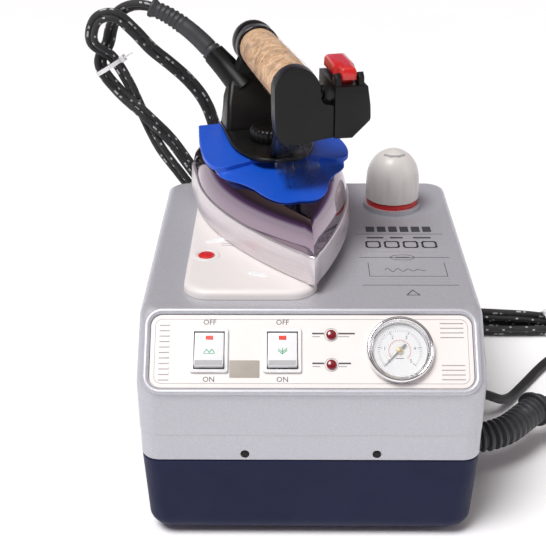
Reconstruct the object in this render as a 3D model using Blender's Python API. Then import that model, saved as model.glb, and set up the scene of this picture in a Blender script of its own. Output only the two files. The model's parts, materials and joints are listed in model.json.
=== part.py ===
"""Steam generator iron: a counter-top boiler unit with its iron resting on a mat.

World units are metres with +Z up. Dimensions below are in millimetres and are
scaled once, where a mesh is made. X is the unit's width, +Y points to its back,
and Z = 0 is the surface that its feet stand on.
"""

from math import cos, pi, radians, sin, tan, tau

import bmesh
import bpy
from mathutils import Matrix, Vector
from mathutils.geometry import interpolate_bezier

MM = 0.001
GAP = 0.3  # clearance between neighbouring pieces

# Boiler unit
WIDTH = 240.0
DEPTH = 274.0
REAR_OVERHANG = 22.0  # the iron's handle reaches past the back of the unit
FRONT_Y = -(DEPTH + REAR_OVERHANG) / 2
BACK_Y = FRONT_Y + DEPTH
MIDDLE_Y = (FRONT_Y + BACK_Y) / 2
FOOT_HEIGHT = 3.0
FOOT_RADIUS = 12.0
BASE_TOP = 69.7
BASE_WALL = 3.0
BASE_DRAFT = 2.5
HOUSING_BOTTOM = 70.0
FRONT_TOP = 127.4
HOUSING_TOP = 167.6
SLOPE_LENGTH = 57.0
SLOPE_ANGLE = radians(45.2)  # from the vertical
HOUSING_WALL = 3.5
SLOPE_WALL = 7.0
CORNER = 13.0
SCREW_X = (-46.0, 46.0)
SCREW_Z, SCREW_SINK = 75.5, 1.5

# Control panel, measured up the slope (Y) and out of it (Z)
PANEL_HALF = 110.6
PANEL_LOW, PANEL_HIGH = 2.5, 54.1
PANEL_FACE = -1.0
PANEL_THICK = 1.9
SWITCH_X = (-70.0, -19.8)
SWITCH_Y = 28.5
SWITCH_HALF = (13.05, 15.5)
ROCKER_HALF = (10.1, 12.3)
ROCKER_TILT = radians(12.0)
LAMP_X = 13.7
LAMP_Y = (39.8, 18.8)
GAUGE_CENTRE = (60.5, 28.8)
GAUGE_RADIUS = 23.1
DIAL_RADIUS = 18.7

# Filler cap
CAP_CENTRE = (70.5, FRONT_Y + 221.5)
CAP_RADIUS = 22.0
CAP_HEIGHT = 41.4
CAP_LIFT = 9.0  # the knob's lower edge above the housing
NECK_RADIUS = 14.0
NECK_BORE = 10.2

# Boiler
BOILER_X, BOILER_Z = 60.0, 62.0
BOILER_RADIUS = 44.0
BOILER_FRONT, BOILER_BACK = -110.0, 112.0

# Iron: origin under the nose of the sole, X to the right, Y towards the heel
MAT_TOP = 174.6
NOSE = (3.0, FRONT_Y + 61.0, MAT_TOP)
IRON_TURN = radians(12.6)
SOLE_LENGTH = 208.0
SOLE_HALF = 61.0
SOLE_TOP = 22.4
COVER_TOP = 46.0
SHIELD_TOP = 54.0
SHOE_TOP = 58.0
GRIP_RADIUS = 16.0
GRIP_FRONT, GRIP_REAR = 71.3, 195.7
GRIP_FRONT_Z, GRIP_DROP = 125.4, 0.049  # axis height at Y = 62, fall per millimetre
ARM_FRONT = 56.0

# Lines
LINE_RADIUS = 5.0
HANK_RADIUS = 10.4
MAINS_RADIUS = 4.0
COIL_CENTRE = (310.0, 60.0)
COIL_INNER, COIL_OUTER = 35.8, 52.2
COIL_LOW, COIL_HIGH = 1.3, 25.5
OUTLET = (119.3, -68.0, 32.0)
MAINS_INLET = (119.3, 5.0, 25.0)

WORLD = Matrix.Identity(4)


def clear_scene():
    for existing in list(bpy.data.objects):
        bpy.data.objects.remove(existing, do_unlink=True)


def finish(name, colour, roughness, metallic=0.0, alpha=1.0):
    """A Principled material."""
    made = bpy.data.materials.new(name)
    made.use_nodes = True
    shader = made.node_tree.nodes["Principled BSDF"]
    shader.inputs["Base Color"].default_value = (*colour, 1.0)
    shader.inputs["Roughness"].default_value = roughness
    shader.inputs["Metallic"].default_value = metallic
    shader.inputs["Alpha"].default_value = alpha
    return made


def make_finishes():
    table = {
        "housing_paint": ((0.42, 0.42, 0.47), 0.4, 0.3),
        "navy_plastic": ((0.02, 0.03, 0.10), 0.45, 0.0),
        "cream_plastic": ((0.80, 0.76, 0.72), 0.4, 0.0),
        "mat_silicone": ((0.72, 0.68, 0.66), 0.5, 0.0),
        "red_plastic": ((0.60, 0.01, 0.01), 0.3, 0.0),
        "black_plastic": ((0.01, 0.01, 0.012), 0.4, 0.0),
        "rubber": ((0.02, 0.02, 0.02), 0.8, 0.0),
        "white_plastic": ((0.8, 0.8, 0.8), 0.3, 0.0),
        "cap_plastic": ((0.50, 0.47, 0.44), 0.4, 0.0),
        "chrome": ((0.8, 0.8, 0.82), 0.08, 1.0),
        "aluminium": ((0.75, 0.72, 0.73), 0.3, 1.0),
        "brass": ((0.70, 0.50, 0.20), 0.3, 1.0),
        "steel": ((0.55, 0.56, 0.58), 0.35, 1.0),
        "blue_plastic": ((0.02, 0.13, 0.60), 0.35, 0.0),
        "cork": ((0.62, 0.42, 0.26), 0.8, 0.0),
        "lamp_red": ((0.25, 0.01, 0.02), 0.2, 0.0),
    }
    made = {name: finish(name, *values) for name, values in table.items()}
    made["clear_glass"] = finish("clear_glass", (0.9, 0.95, 0.95), 0.05, 0.0, 0.3)
    return made


# ---------------------------------------------------------------- frames


def place(x, y, z):
    """A frame moved to a point given in millimetres."""
    return Matrix.Translation(Vector((x, y, z)) * MM)


def iron_frame():
    return place(*NOSE) @ Matrix.Rotation(IRON_TURN, 4, "Z")


def panel_frame():
    """X along the unit, Y up the slope, Z out of the panel."""
    up = Vector((0, sin(SLOPE_ANGLE), cos(SLOPE_ANGLE)))
    out = Vector((0, -cos(SLOPE_ANGLE), sin(SLOPE_ANGLE)))
    axes = Matrix((Vector((1, 0, 0)), up, out)).transposed().to_4x4()
    return place(0, FRONT_Y, FRONT_TOP) @ axes


def aim(point, direction):
    """A frame at a point whose Z axis points along a direction."""
    turn = Vector(direction).to_track_quat("Z", "Y").to_matrix().to_4x4()
    return place(*point) @ turn


# ---------------------------------------------------------------- solids


def add(name, verts, faces, material, frame=WORLD, cutter=False):
    """A named object from vertices in millimetres in its own frame."""
    mesh = bpy.data.meshes.new(name)
    mesh.from_pydata([Vector(v) * MM for v in verts], [], faces)
    tidy = bmesh.new()
    tidy.from_mesh(mesh)
    bmesh.ops.remove_doubles(tidy, verts=tidy.verts, dist=1e-6)
    bmesh.ops.recalc_face_normals(tidy, faces=tidy.faces)
    tidy.to_mesh(mesh)
    tidy.free()
    mesh.shade_smooth()
    mesh.set_sharp_from_angle(angle=radians(35))
    made = bpy.data.objects.new(name, mesh)
    made.matrix_world = frame
    bpy.context.collection.objects.link(made)
    if cutter:
        made.hide_render = True
        made.display_type = "WIRE"
    else:
        mesh.materials.append(material)
    return made


def ring_faces(count, size, closed=False):
    """Quads between successive rings of points, with end caps unless closed."""
    faces = []
    for k in range(count if closed else count - 1):
        low, high = k * size, (k + 1) % count * size
        for i in range(size):
            j = (i + 1) % size
            faces.append((low + i, low + j, high + j, high + i))
    if not closed:
        faces.append(tuple(range(size)))
        faces.append(tuple((count - 1) * size + i for i in range(size)))
    return faces


def loft(name, rings, material, frame=WORLD, cutter=False):
    """A solid through rings that have the same number of points."""
    verts = [v for ring in rings for v in ring]
    return add(name, verts, ring_faces(len(rings), len(rings[0])), material, frame, cutter)


def prism(name, outline, low, high, material, frame=WORLD, cutter=False):
    rings = [[(x, y, z) for x, y in outline] for z in (low, high)]
    return loft(name, rings, material, frame, cutter)


def box(name, low, high, material, frame=WORLD, cutter=False):
    outline = [(low[0], low[1]), (high[0], low[1]), (high[0], high[1]), (low[0], high[1])]
    return prism(name, outline, low[2], high[2], material, frame, cutter)


def lathe(name, profile, material, frame=WORLD, sides=32, cutter=False, closed=False):
    """A turned solid about Z. A closed profile makes a ring that misses the axis."""
    rings = []
    for radius, z in profile:
        radius = max(radius, 0.001)
        rings.append(
            [(radius * cos(tau * i / sides), radius * sin(tau * i / sides), z) for i in range(sides)]
        )
    verts = [v for ring in rings for v in ring]
    faces = ring_faces(len(rings), sides, closed)
    return add(name, verts, faces, material, frame, cutter)


def cylinder(name, radius, low, high, material=None, frame=WORLD, sides=24, cutter=False):
    return lathe(name, [(radius, low), (radius, high)], material, frame, sides, cutter)


def tube(name, points, radius, material, frame=WORLD, resolution=2):
    """A round cord or pipe along points given in millimetres."""
    curve = bpy.data.curves.new(name, "CURVE")
    curve.dimensions = "3D"
    curve.bevel_depth = radius * MM
    curve.bevel_resolution = resolution
    curve.use_fill_caps = True
    spline = curve.splines.new("POLY")
    spline.points.add(len(points) - 1)
    for point, place_at in zip(spline.points, points):
        point.co = (*(Vector(place_at) * MM), 1.0)
    curve.materials.append(material)
    made = bpy.data.objects.new(name, curve)
    made.matrix_world = frame
    bpy.context.collection.objects.link(made)
    return made


def smooth_route(points, spacing):
    """Points about evenly spaced on a smooth curve through the given ones."""
    nodes = [Vector(p) for p in points]
    slopes = []
    for k in range(len(nodes)):
        before, after = nodes[max(k - 1, 0)], nodes[min(k + 1, len(nodes) - 1)]
        slopes.append((after - before).normalized())
    fine = []
    for k in range(len(nodes) - 1):
        reach = (nodes[k + 1] - nodes[k]).length / 3
        fine += interpolate_bezier(
            nodes[k], nodes[k] + slopes[k] * reach, nodes[k + 1] - slopes[k + 1] * reach, nodes[k + 1], 24
        )[:-1]
    fine.append(nodes[-1])
    steps = [0.0]
    for a, b in zip(fine, fine[1:]):
        steps.append(steps[-1] + (b - a).length)
    count = max(3, round(steps[-1] / spacing) + 1)
    picked = []
    k = 0
    for i in range(count):
        want = steps[-1] * i / (count - 1)
        while k < len(steps) - 2 and steps[k + 1] < want:
            k += 1
        share = (want - steps[k]) / max(steps[k + 1] - steps[k], 1e-9)
        picked.append(fine[k].lerp(fine[k + 1], share))
    return picked


def swept(name, points, radii, material, frame=WORLD, sides=16, cutter=False):
    """A round solid along points, with its own radius at each."""
    points = [Vector(p) for p in points]
    rings = []
    side = Vector((0, 0, 1))
    for k, point in enumerate(points):
        ahead = (points[min(k + 1, len(points) - 1)] - points[max(k - 1, 0)]).normalized()
        side = (side - ahead * side.dot(ahead)).normalized()
        across = ahead.cross(side)
        turns = [tau * i / sides for i in range(sides)]
        rings.append([point + radii[k] * (cos(a) * side + sin(a) * across) for a in turns])
    return loft(name, rings, material, frame, cutter)


def rounded_rectangle(half_x, half_y, radius, centre=(0.0, 0.0), steps=4):
    """The outline of a rectangle with round corners, anticlockwise."""
    points = []
    for corner in range(4):
        start = corner * pi / 2
        cx = centre[0] + (half_x - radius) * (1 if corner in (0, 3) else -1)
        cy = centre[1] + (half_y - radius) * (1 if corner in (0, 1) else -1)
        for k in range(steps + 1):
            angle = start + pi / 2 * k / steps
            points.append((cx + radius * cos(angle), cy + radius * sin(angle)))
    return points


def mirrored_ring(half, z, count=16):
    """A closed ring from a half outline that runs nose to heel on the right side."""
    points = [Vector((x, y, 0)) for x, y in half]
    lengths = [0.0]
    for a, b in zip(points, points[1:]):
        lengths.append(lengths[-1] + (b - a).length)
    right = []
    k = 0
    for i in range(count):
        want = lengths[-1] * i / (count - 1)
        while k < len(lengths) - 2 and lengths[k + 1] < want:
            k += 1
        share = (want - lengths[k]) / (lengths[k + 1] - lengths[k])
        right.append(points[k].lerp(points[k + 1], share))
    left = [Vector((-p.x, p.y, 0)) for p in reversed(right[1:-1])]
    return [(p.x, p.y, z) for p in right + left]


def iron_half(front, back, half_width, steps=14):
    """Half outline of an iron: a pointed nose that swells to parallel sides."""
    points = [(0.0, front)]
    for k in range(1, steps + 1):
        share = k / steps
        width = half_width * sin(pi / 2 * min(share / 0.77, 1.0)) ** 0.9
        width -= 0.03 * half_width * max(share - 0.77, 0) / 0.23
        points.append((width, front + (back - front - 7) * share))
    width = points[-1][0]
    for angle in (30, 60, 90):
        points.append((width - 7 + 7 * cos(radians(angle)), back - 7 + 7 * sin(radians(angle))))
    points.append((0.0, back))
    return points


def bevel(target, width, segments=3, angle=40):
    added = target.modifiers.new("edge_rounding", "BEVEL")
    added.width = width * MM
    added.segments = segments
    added.limit_method = "ANGLE"
    added.angle_limit = radians(angle)
    return target


def cut(target, *cutters, union=False):
    for k, cutter in enumerate(cutters):
        added = target.modifiers.new(f"shape_{k}", "BOOLEAN")
        added.operation = "UNION" if union else "DIFFERENCE"
        added.object = cutter
        added.solver = "EXACT"
    return target


# ---------------------------------------------------------------- boiler unit


def slope_y(z):
    """How far back the front of the housing is at a height, past its lower face."""
    return FRONT_Y + max(z - FRONT_TOP, 0) * tan(SLOPE_ANGLE)


def housing_rings(stages, radius):
    """Level sections of the housing from (z, side inset, front Y, back inset)."""
    rings = []
    for z, inset, front, back_inset in stages:
        back = BACK_Y - back_inset
        centre = (0, (front + back) / 2)
        outline = rounded_rectangle(WIDTH / 2 - inset, (back - front) / 2, radius, centre)
        rings.append([(x, y, z) for x, y in outline])
    return rings


def make_housing(finishes):
    top = HOUSING_TOP
    stages = [(HOUSING_BOTTOM, 0.6, FRONT_Y, 0.6), (FRONT_TOP - 2.5, 0.0, FRONT_Y, 0.0)]
    stages += [(FRONT_TOP, 0.0, FRONT_Y + 0.7, 0.0), (FRONT_TOP + 2.7, 0.0, slope_y(FRONT_TOP + 2.7), 0.0)]
    for angle in (0, 30, 55, 75, 90):
        z = top - 6.6 * (1 - sin(radians(angle)))
        inset = 6.6 * (1 - cos(radians(angle)))
        stages.append((z, 0.4 + inset, slope_y(z) + 0.4 * inset, inset))
    housing = loft("upper_housing", housing_rings(stages, CORNER), finishes["housing_paint"])
    wall, low, high = HOUSING_WALL, HOUSING_BOTTOM - 5, top - HOUSING_WALL
    push = SLOPE_WALL / cos(SLOPE_ANGLE)
    knee = FRONT_TOP - (push - wall) / tan(SLOPE_ANGLE)
    stages = [(low, wall, FRONT_Y + wall, wall), (knee, wall, FRONT_Y + wall, wall)]
    stages += [(high, wall, slope_y(high) + push, wall)]
    rings = housing_rings(stages, CORNER - wall)
    hollow = loft("housing_hollow", rings, None, WORLD, True)
    panel = panel_frame()
    centre_y = (PANEL_LOW + PANEL_HIGH) / 2
    half_y = (PANEL_HIGH - PANEL_LOW) / 2
    pocket_outline = rounded_rectangle(PANEL_HALF + GAP, half_y + GAP, 8.0, (0, centre_y))
    pocket_floor = PANEL_FACE - PANEL_THICK - GAP
    pocket = prism("panel_pocket", pocket_outline, pocket_floor, 12.0, None, panel, True)
    cap = place(*CAP_CENTRE, HOUSING_TOP)
    dish = cylinder("cap_recess", CAP_RADIUS + 1.6, -2.3, 6.0, None, cap, 40, True)
    neck_hole = cylinder("neck_hole", NECK_RADIUS + GAP, -12.0, 6.0, None, cap, 24, True)
    sinks = []
    for k, x in enumerate(SCREW_X):
        face = aim((x, FRONT_Y, SCREW_Z), (0, -1, 0))
        sinks.append(cylinder(f"screw_sink_{k}", 3.2, -SCREW_SINK, 3, None, face, 16, True))
    cut(housing, hollow, *sinks, pocket, *panel_cutters("ledge", panel), dish, neck_hole)
    return housing


def panel_cutters(label, panel):
    """Openings for the switches, lamps, gauge and the two front screws' panel."""
    cutters = []
    for k, x in enumerate(SWITCH_X):
        low = (x - 12.0, SWITCH_Y - 14.6, -14.0)
        high = (x + 12.0, SWITCH_Y + 14.6, 4.0)
        cutters.append(box(f"{label}_switch_cut_{k}", low, high, None, panel, True))
    for k, y in enumerate(LAMP_Y):
        spot = panel @ place(LAMP_X, y, 0)
        cutters.append(cylinder(f"{label}_lamp_cut_{k}", 3.2, -14, 4, None, spot, 16, True))
    spot = panel @ place(*GAUGE_CENTRE, 0)
    cutters.append(cylinder(f"{label}_gauge_cut", 19.9, -14, 4, None, spot, 40, True))
    return cutters


def make_base(finishes):
    """An open-topped tub with drafted walls and a rounded bottom edge."""
    half_x, half_y = WIDTH / 2 - 0.5, DEPTH / 2
    floor = FOOT_HEIGHT + GAP
    stages = [(floor, BASE_DRAFT + 9, 6), (floor + 2.5, BASE_DRAFT + 3.5, 11), (floor + 8, BASE_DRAFT, 14)]
    stages += [(BASE_TOP, 0.0, CORNER)]
    inner = [(BASE_TOP, BASE_WALL, CORNER - BASE_WALL), (floor + 8, BASE_DRAFT + BASE_WALL, 11)]
    inner += [(floor + 5, BASE_DRAFT + BASE_WALL + 3, 8), (floor + 3, BASE_DRAFT + BASE_WALL + 8, 5)]
    rings = []
    for z, inset, radius in stages + inner:
        outline = rounded_rectangle(half_x - inset, half_y - inset, radius, (0, MIDDLE_Y))
        rings.append([(x, y, z) for x, y in outline])
    tub = loft("base_tub", rings, finishes["navy_plastic"])
    outlet = aim((OUTLET[0] - 12, OUTLET[1], OUTLET[2]), (1, 0, 0))
    inlet = aim((MAINS_INLET[0] - 12, MAINS_INLET[1], MAINS_INLET[2]), (1, 0, 0))
    cut(
        tub,
        cylinder("outlet_hole", 12.5, 0, 20, None, outlet, 24, True),
        cylinder("inlet_hole", 8.0, 0, 20, None, inlet, 20, True),
    )
    for side_x, x in (("left", -88.0), ("right", 88.0)):
        for side_y, y in (("front", FRONT_Y + 30), ("rear", BACK_Y - 30)):
            foot = [(FOOT_RADIUS, 0.0), (FOOT_RADIUS + 1, FOOT_HEIGHT)]
            lathe(f"foot_{side_y}_{side_x}", foot, finishes["rubber"], place(x, y, 0), 20)


def make_front_screws(finishes):
    """Two round-headed screws, sunk in the housing, that close it on the base."""
    for label, x in zip(("left", "right"), SCREW_X):
        frame = aim((x, FRONT_Y + SCREW_SINK - GAP, SCREW_Z), (0, -1, 0))
        head = [(2.8, 0.0), (2.8, 0.7), (1.9, 1.5)]
        lathe(f"front_screw_{label}", head, finishes["black_plastic"], frame, 16)


def make_panel(finishes):
    panel = panel_frame()
    centre_y = (PANEL_LOW + PANEL_HIGH) / 2
    half_y = (PANEL_HIGH - PANEL_LOW) / 2
    outline = rounded_rectangle(PANEL_HALF, half_y, 7.7, (0, centre_y))
    low = PANEL_FACE - PANEL_THICK
    plate = prism("control_panel", outline, low, PANEL_FACE, finishes["cream_plastic"], panel)
    cut(plate, *panel_cutters("panel", panel))


def make_switch(label, x, finishes):
    panel = panel_frame() @ place(x, SWITCH_Y, 0)
    seat = PANEL_FACE + GAP
    flange = rounded_rectangle(*SWITCH_HALF, 1.2, steps=2)
    bezel = prism(f"switch_bezel_{label}", flange, seat, seat + 2.0, finishes["white_plastic"], panel)
    body = box(f"switch_body_{label}", (-11.7, -14.3, -14.0), (11.7, 14.3, seat + 1), None, panel, True)
    well = box(f"switch_well_{label}", (-10.5, -13.2, -11.0), (10.5, 13.2, 4.0), None, panel, True)
    cut(bezel, body, union=True)
    cut(bezel, well)
    half_x, half_y = ROCKER_HALF
    side = [(-half_y, 3.4), (0, 1.9), (half_y, 3.4), (12.0, -3.0), (7.0, -7.0), (-7.0, -7.0), (-12.0, -3.0)]
    rings = [[(rx, y, z) for y, z in side] for rx in (-half_x, half_x)]
    tilt = panel @ Matrix.Rotation(-ROCKER_TILT, 4, "X")
    rocker = loft(f"rocker_{label}", rings, finishes["white_plastic"], tilt)
    bevel(rocker, 0.6, 2, 25)


def make_lamps(finishes):
    for label, y in zip(("water", "steam"), LAMP_Y):
        spot = panel_frame() @ place(LAMP_X, y, PANEL_FACE)
        profile = [(2.9, -10.0), (2.9, GAP), (3.5, GAP), (3.5, 1.0), (2.6, 1.9), (0.0, 2.3)]
        lathe(f"lamp_{label}", profile, finishes["lamp_red"], spot, 20)


def make_gauge(finishes):
    spot = panel_frame() @ place(*GAUGE_CENTRE, PANEL_FACE)
    rim = GAUGE_RADIUS
    profile = [(0, -19), (19.4, -19), (19.4, GAP), (rim, GAP), (rim, 4.6), (rim - 1, 5.8), (rim - 2.6, 6.2)]
    profile += [(DIAL_RADIUS + 0.9, 5.4), (DIAL_RADIUS + GAP, 4.8), (DIAL_RADIUS + GAP, -1.5), (0, -1.5)]
    lathe("gauge_case", profile, finishes["chrome"], spot, 36)
    cylinder("gauge_dial", DIAL_RADIUS, -1.2, -0.4, finishes["white_plastic"], spot, 32)
    cylinder("gauge_glass", DIAL_RADIUS, 3.0, 4.4, finishes["clear_glass"], spot, 32)
    blade = [(0.9, -6.0), (0.9, -2.0)]
    blade += [(2.2 * cos(a), 2.2 * sin(a)) for a in [radians(d) for d in (-60, -30, 0, 30, 60)]]
    blade += [(0.6, 2.2), (0.15, 15.0)]
    outline = blade + [(-x, y) for x, y in reversed(blade)]
    zero = spot @ Matrix.Rotation(radians(135), 4, "Z")
    prism("gauge_needle", outline, 0.2, 1.0, finishes["black_plastic"], zero)


def make_rest_mat(finishes):
    """A raised silicone rest for the hot sole, with one red stud at its front."""
    half_x, half_y = 48.0, 105.0
    centre = (-43.0, FRONT_Y + 55 + half_y)
    low = HOUSING_TOP + GAP
    stages = [(low, 0.0), (low + 3.5, 0.6), (low + 5.6, 2.0), (MAT_TOP, 5.0)]
    rings = []
    for z, inset in stages:
        outline = rounded_rectangle(half_x - inset, half_y - inset, 19 - inset, centre, 6)
        rings.append([(x, y, z) for x, y in outline])
    mat = loft("iron_rest_mat", rings, finishes["mat_silicone"])
    stud = (-77.0, FRONT_Y + 112.7)
    cut(mat, cylinder("stud_hole", 6.3, MAT_TOP - 3, MAT_TOP + 3, None, place(*stud, 0), 24, True))
    dome = [(6.0, MAT_TOP - 2.7), (6.0, MAT_TOP + 0.1), (4.5, MAT_TOP + 0.9), (0.0, MAT_TOP + 1.2)]
    lathe("rest_stud", dome, finishes["red_plastic"], place(*stud, 0), 24)


# ---------------------------------------------------------------- filler and boiler


def make_filler(finishes):
    spot = place(*CAP_CENTRE, HOUSING_TOP)
    boiler_top = BOILER_Z + BOILER_RADIUS - HOUSING_TOP
    neck = [(NECK_RADIUS, boiler_top + GAP), (NECK_RADIUS, 4.0), (NECK_BORE, 4.0)]
    neck += [(NECK_BORE, boiler_top + GAP)]
    lathe("filler_neck", neck, finishes["brass"], spot, 24, closed=True)
    ring = [(NECK_RADIUS + GAP, -2.0), (CAP_RADIUS + 0.6, -2.0), (CAP_RADIUS + 0.6, 1.5)]
    ring += [(CAP_RADIUS - 0.8, 2.5), (CAP_RADIUS - 0.8, CAP_LIFT - GAP * 2), (NECK_RADIUS + GAP, CAP_LIFT - GAP * 2)]
    lathe("cap_gasket", ring, finishes["red_plastic"], spot, 40, closed=True)
    plug = [(NECK_BORE - 0.4, -22.0), (NECK_BORE - 0.4, CAP_LIFT - GAP), (0.0, CAP_LIFT - GAP)]
    lathe("cap_plug", plug, finishes["brass"], spot, 20)
    knob = [(CAP_RADIUS, CAP_LIFT), (CAP_RADIUS, 14.0), (CAP_RADIUS - 0.6, 30.0), (CAP_RADIUS - 3.5, 39.0)]
    knob += [(CAP_RADIUS - 9, 46.0), (CAP_RADIUS - 15, 49.2), (0.0, CAP_LIFT + CAP_HEIGHT)]
    lathe("cap_knob", knob, finishes["cap_plastic"], spot, 40)


def make_boiler(finishes):
    length = BOILER_BACK - BOILER_FRONT
    tank = aim((BOILER_X, BOILER_FRONT, BOILER_Z), (0, 1, 0))
    r = BOILER_RADIUS
    outside = [(r - 2, 0), (r, 0), (r, length - 14), (r - 8, length - 5), (r - 20, length), (0, length)]
    inside = [(0, length - 2), (r - 21, length - 2), (r - 10, length - 7), (r - 2, length - 15), (r - 2, 0)]
    shell = lathe("boiler_tank", outside[1:] + inside, finishes["steel"], tank, 24)
    fill = place(*CAP_CENTRE, BOILER_Z)
    cut(shell, cylinder("fill_opening", 9.0, 20, 60, None, fill, 20, True))
    cylinder("boiler_end_plate", r, -4.0, -GAP, finishes["steel"], tank, 24)
    loop = [(-14, 0.3, -14), (-14, 60, -16), (-14, 150, -16), (-9, 166, -16), (0, 172, -16)]
    loop += [(9, 166, -16), (14, 150, -16), (14, 60, -16), (14, 0.3, -14)]
    route = smooth_route(loop, 14.0)
    tube("boiler_heater", route, 3.5, finishes["steel"], place(BOILER_X, BOILER_FRONT, BOILER_Z), 1)
    for label, y in (("front", -80.0), ("rear", 70.0)):
        arc = [radians(a) for a in range(215, 326, 10)]
        outline = [((r + GAP) * cos(a), (r + GAP) * sin(a)) for a in arc]
        foot = FOOT_HEIGHT + 2 * GAP + BASE_WALL - BOILER_Z
        outline += [(r * cos(arc[-1]), foot), (r * cos(arc[0]), foot)]
        rings = [[(x, y + s, z) for x, z in outline] for s in (-5, 5)]
        loft(f"boiler_cradle_{label}", rings, finishes["steel"], place(BOILER_X, 0, BOILER_Z))


def make_boiler_fittings(finishes):
    """The solenoid valve with its coil, the steam pipe and the terminal block."""
    valve = box("solenoid_valve", (-36, 20, 12.5), (0, 46, 74), finishes["brass"])
    cut(valve, box("solenoid_coil", (-34, 14, 70), (-2, 48, 104), None, WORLD, True), union=True)
    pipe = [(-18, 52, 108.5), (-8, 54, 114), (15, 40, 114), (50, 0, 112), (85, -25, 111), (103, -42, 100)]
    pipe += [(109.2, -52, 80), (109.2, -62, 56), (109, -67, 47.5)]
    tube("steam_pipe", smooth_route(pipe, 10.0), 3.0, finishes["brass"], WORLD, 1)
    box("terminal_block", (-95, -60, 12.5), (-40, -38, 30), finishes["white_plastic"])


def make_glands(finishes):
    """The two places where lines leave the right wall of the base."""
    outlet = aim(OUTLET, (1, 0, 0))
    profile = [(12.1, -14.0), (12.1, 0.0), (16.5, 0.0), (16.5, 4.0), (13.5, 7.0)]
    lathe("outlet_gland", profile, finishes["black_plastic"], outlet, 24)
    mains = aim(MAINS_INLET, (1, 0, 0))
    profile = [(7.6, -12.0), (7.6, 0.0), (11.0, 0.0), (11.0, 3.5), (7.5, 5.0), (5.2, 27.0)]
    lathe("mains_gland", profile, finishes["rubber"], mains, 20)


# ---------------------------------------------------------------- iron


def grip_axis_z(y):
    return GRIP_FRONT_Z - GRIP_DROP * (y - 62.0)


def grip_frame(y):
    """On the grip's axis at a distance from the nose, Z pointing to the rear."""
    return iron_frame() @ aim((0, y, grip_axis_z(y)), (0, 1, -GRIP_DROP))


def make_sole(finishes):
    iron = iron_frame()
    stages = [(GAP, 0.8), (1.2, 0.0), (SOLE_TOP - 0.6, 1.6), (SOLE_TOP, 2.4)]
    rings = []
    for z, inset in stages:
        half = iron_half(inset * 1.5, SOLE_LENGTH - inset, SOLE_HALF - inset)
        rings.append(mirrored_ring(half, z, 22))
    for z in (SOLE_TOP, 10.0):
        rings.append(mirrored_ring(iron_half(34, SOLE_LENGTH - 14, SOLE_HALF - 16), z, 22))
    loft("soleplate", rings, finishes["aluminium"], iron)
    loop = [(-20, 182, 14.6), (-24, 140, 14.6), (-22, 100, 14.6), (-12, 74, 14.6), (0, 64, 14.6)]
    loop += [(-x, y, z) for x, y, z in reversed(loop[:-1])]
    tube("sole_heater", smooth_route(loop, 12.0), 4.0, finishes["steel"], iron, 1)


def cover_rings(wall, angles):
    """Sections of the dome from its foot up: steep flanks that round over to a flat top."""
    rings = []
    for angle in angles:
        rise, run = sin(radians(angle)), 1 - cos(radians(angle))
        z = SOLE_TOP + GAP + (COVER_TOP - wall - SOLE_TOP - GAP) * rise
        half = iron_half(4 + wall * 2 + 15 * run, SOLE_LENGTH - 3 - wall - 8 * run, SOLE_HALF - 3 - wall - 22 * run)
        rings.append(mirrored_ring(half, z, 22))
    return rings


def make_cover(finishes):
    """The bright dome over the sole, open underneath."""
    rings = cover_rings(0.0, (90, 68, 45, 22, 0)) + cover_rings(1.5, (0, 50, 90))
    loft("chrome_cover", rings, finishes["chrome"], iron_frame())


def make_shield(finishes):
    """The blue guard: a thin apron over the dome that rises to two broad side wings."""
    low = COVER_TOP + GAP
    apron = [(0, 46), (9, 45), (17, 50), (24, 62), (29, 76), (36, 88), (44, 97), (49, 106), (51, 122)]
    apron += [(52, 142), (50, 170), (47, 200), (0, 203)]
    fold = [(0, 112), (12, 111), (24, 108), (33, 106), (41, 105), (48, 107), (51, 115), (54, 128)]
    fold += [(54, 142), (53, 170), (50, 202), (0, 205)]
    rim = [(0, 120), (12, 119), (24, 115), (33, 111), (43, 107), (50, 108), (54.5, 115), (57, 128)]
    rim += [(57, 142), (55, 170), (50.5, 203), (0, 206)]
    lip = [(0, 123), (12, 122), (24, 118), (33, 114), (43, 110), (49, 111), (52.5, 117), (54.5, 129)]
    lip += [(54.5, 142), (52.5, 170), (48.5, 201), (0, 204)]
    rings = [
        mirrored_ring(apron, low, 24),
        mirrored_ring(apron, low + 1.5, 24),
        mirrored_ring(fold, low + 2.5, 24),
        mirrored_ring(rim, 49.6, 24),
        mirrored_ring(rim, 52.8, 24),
        mirrored_ring(lip, SHIELD_TOP, 24),
    ]
    loft("heat_shield", rings, finishes["blue_plastic"], iron_frame())


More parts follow.
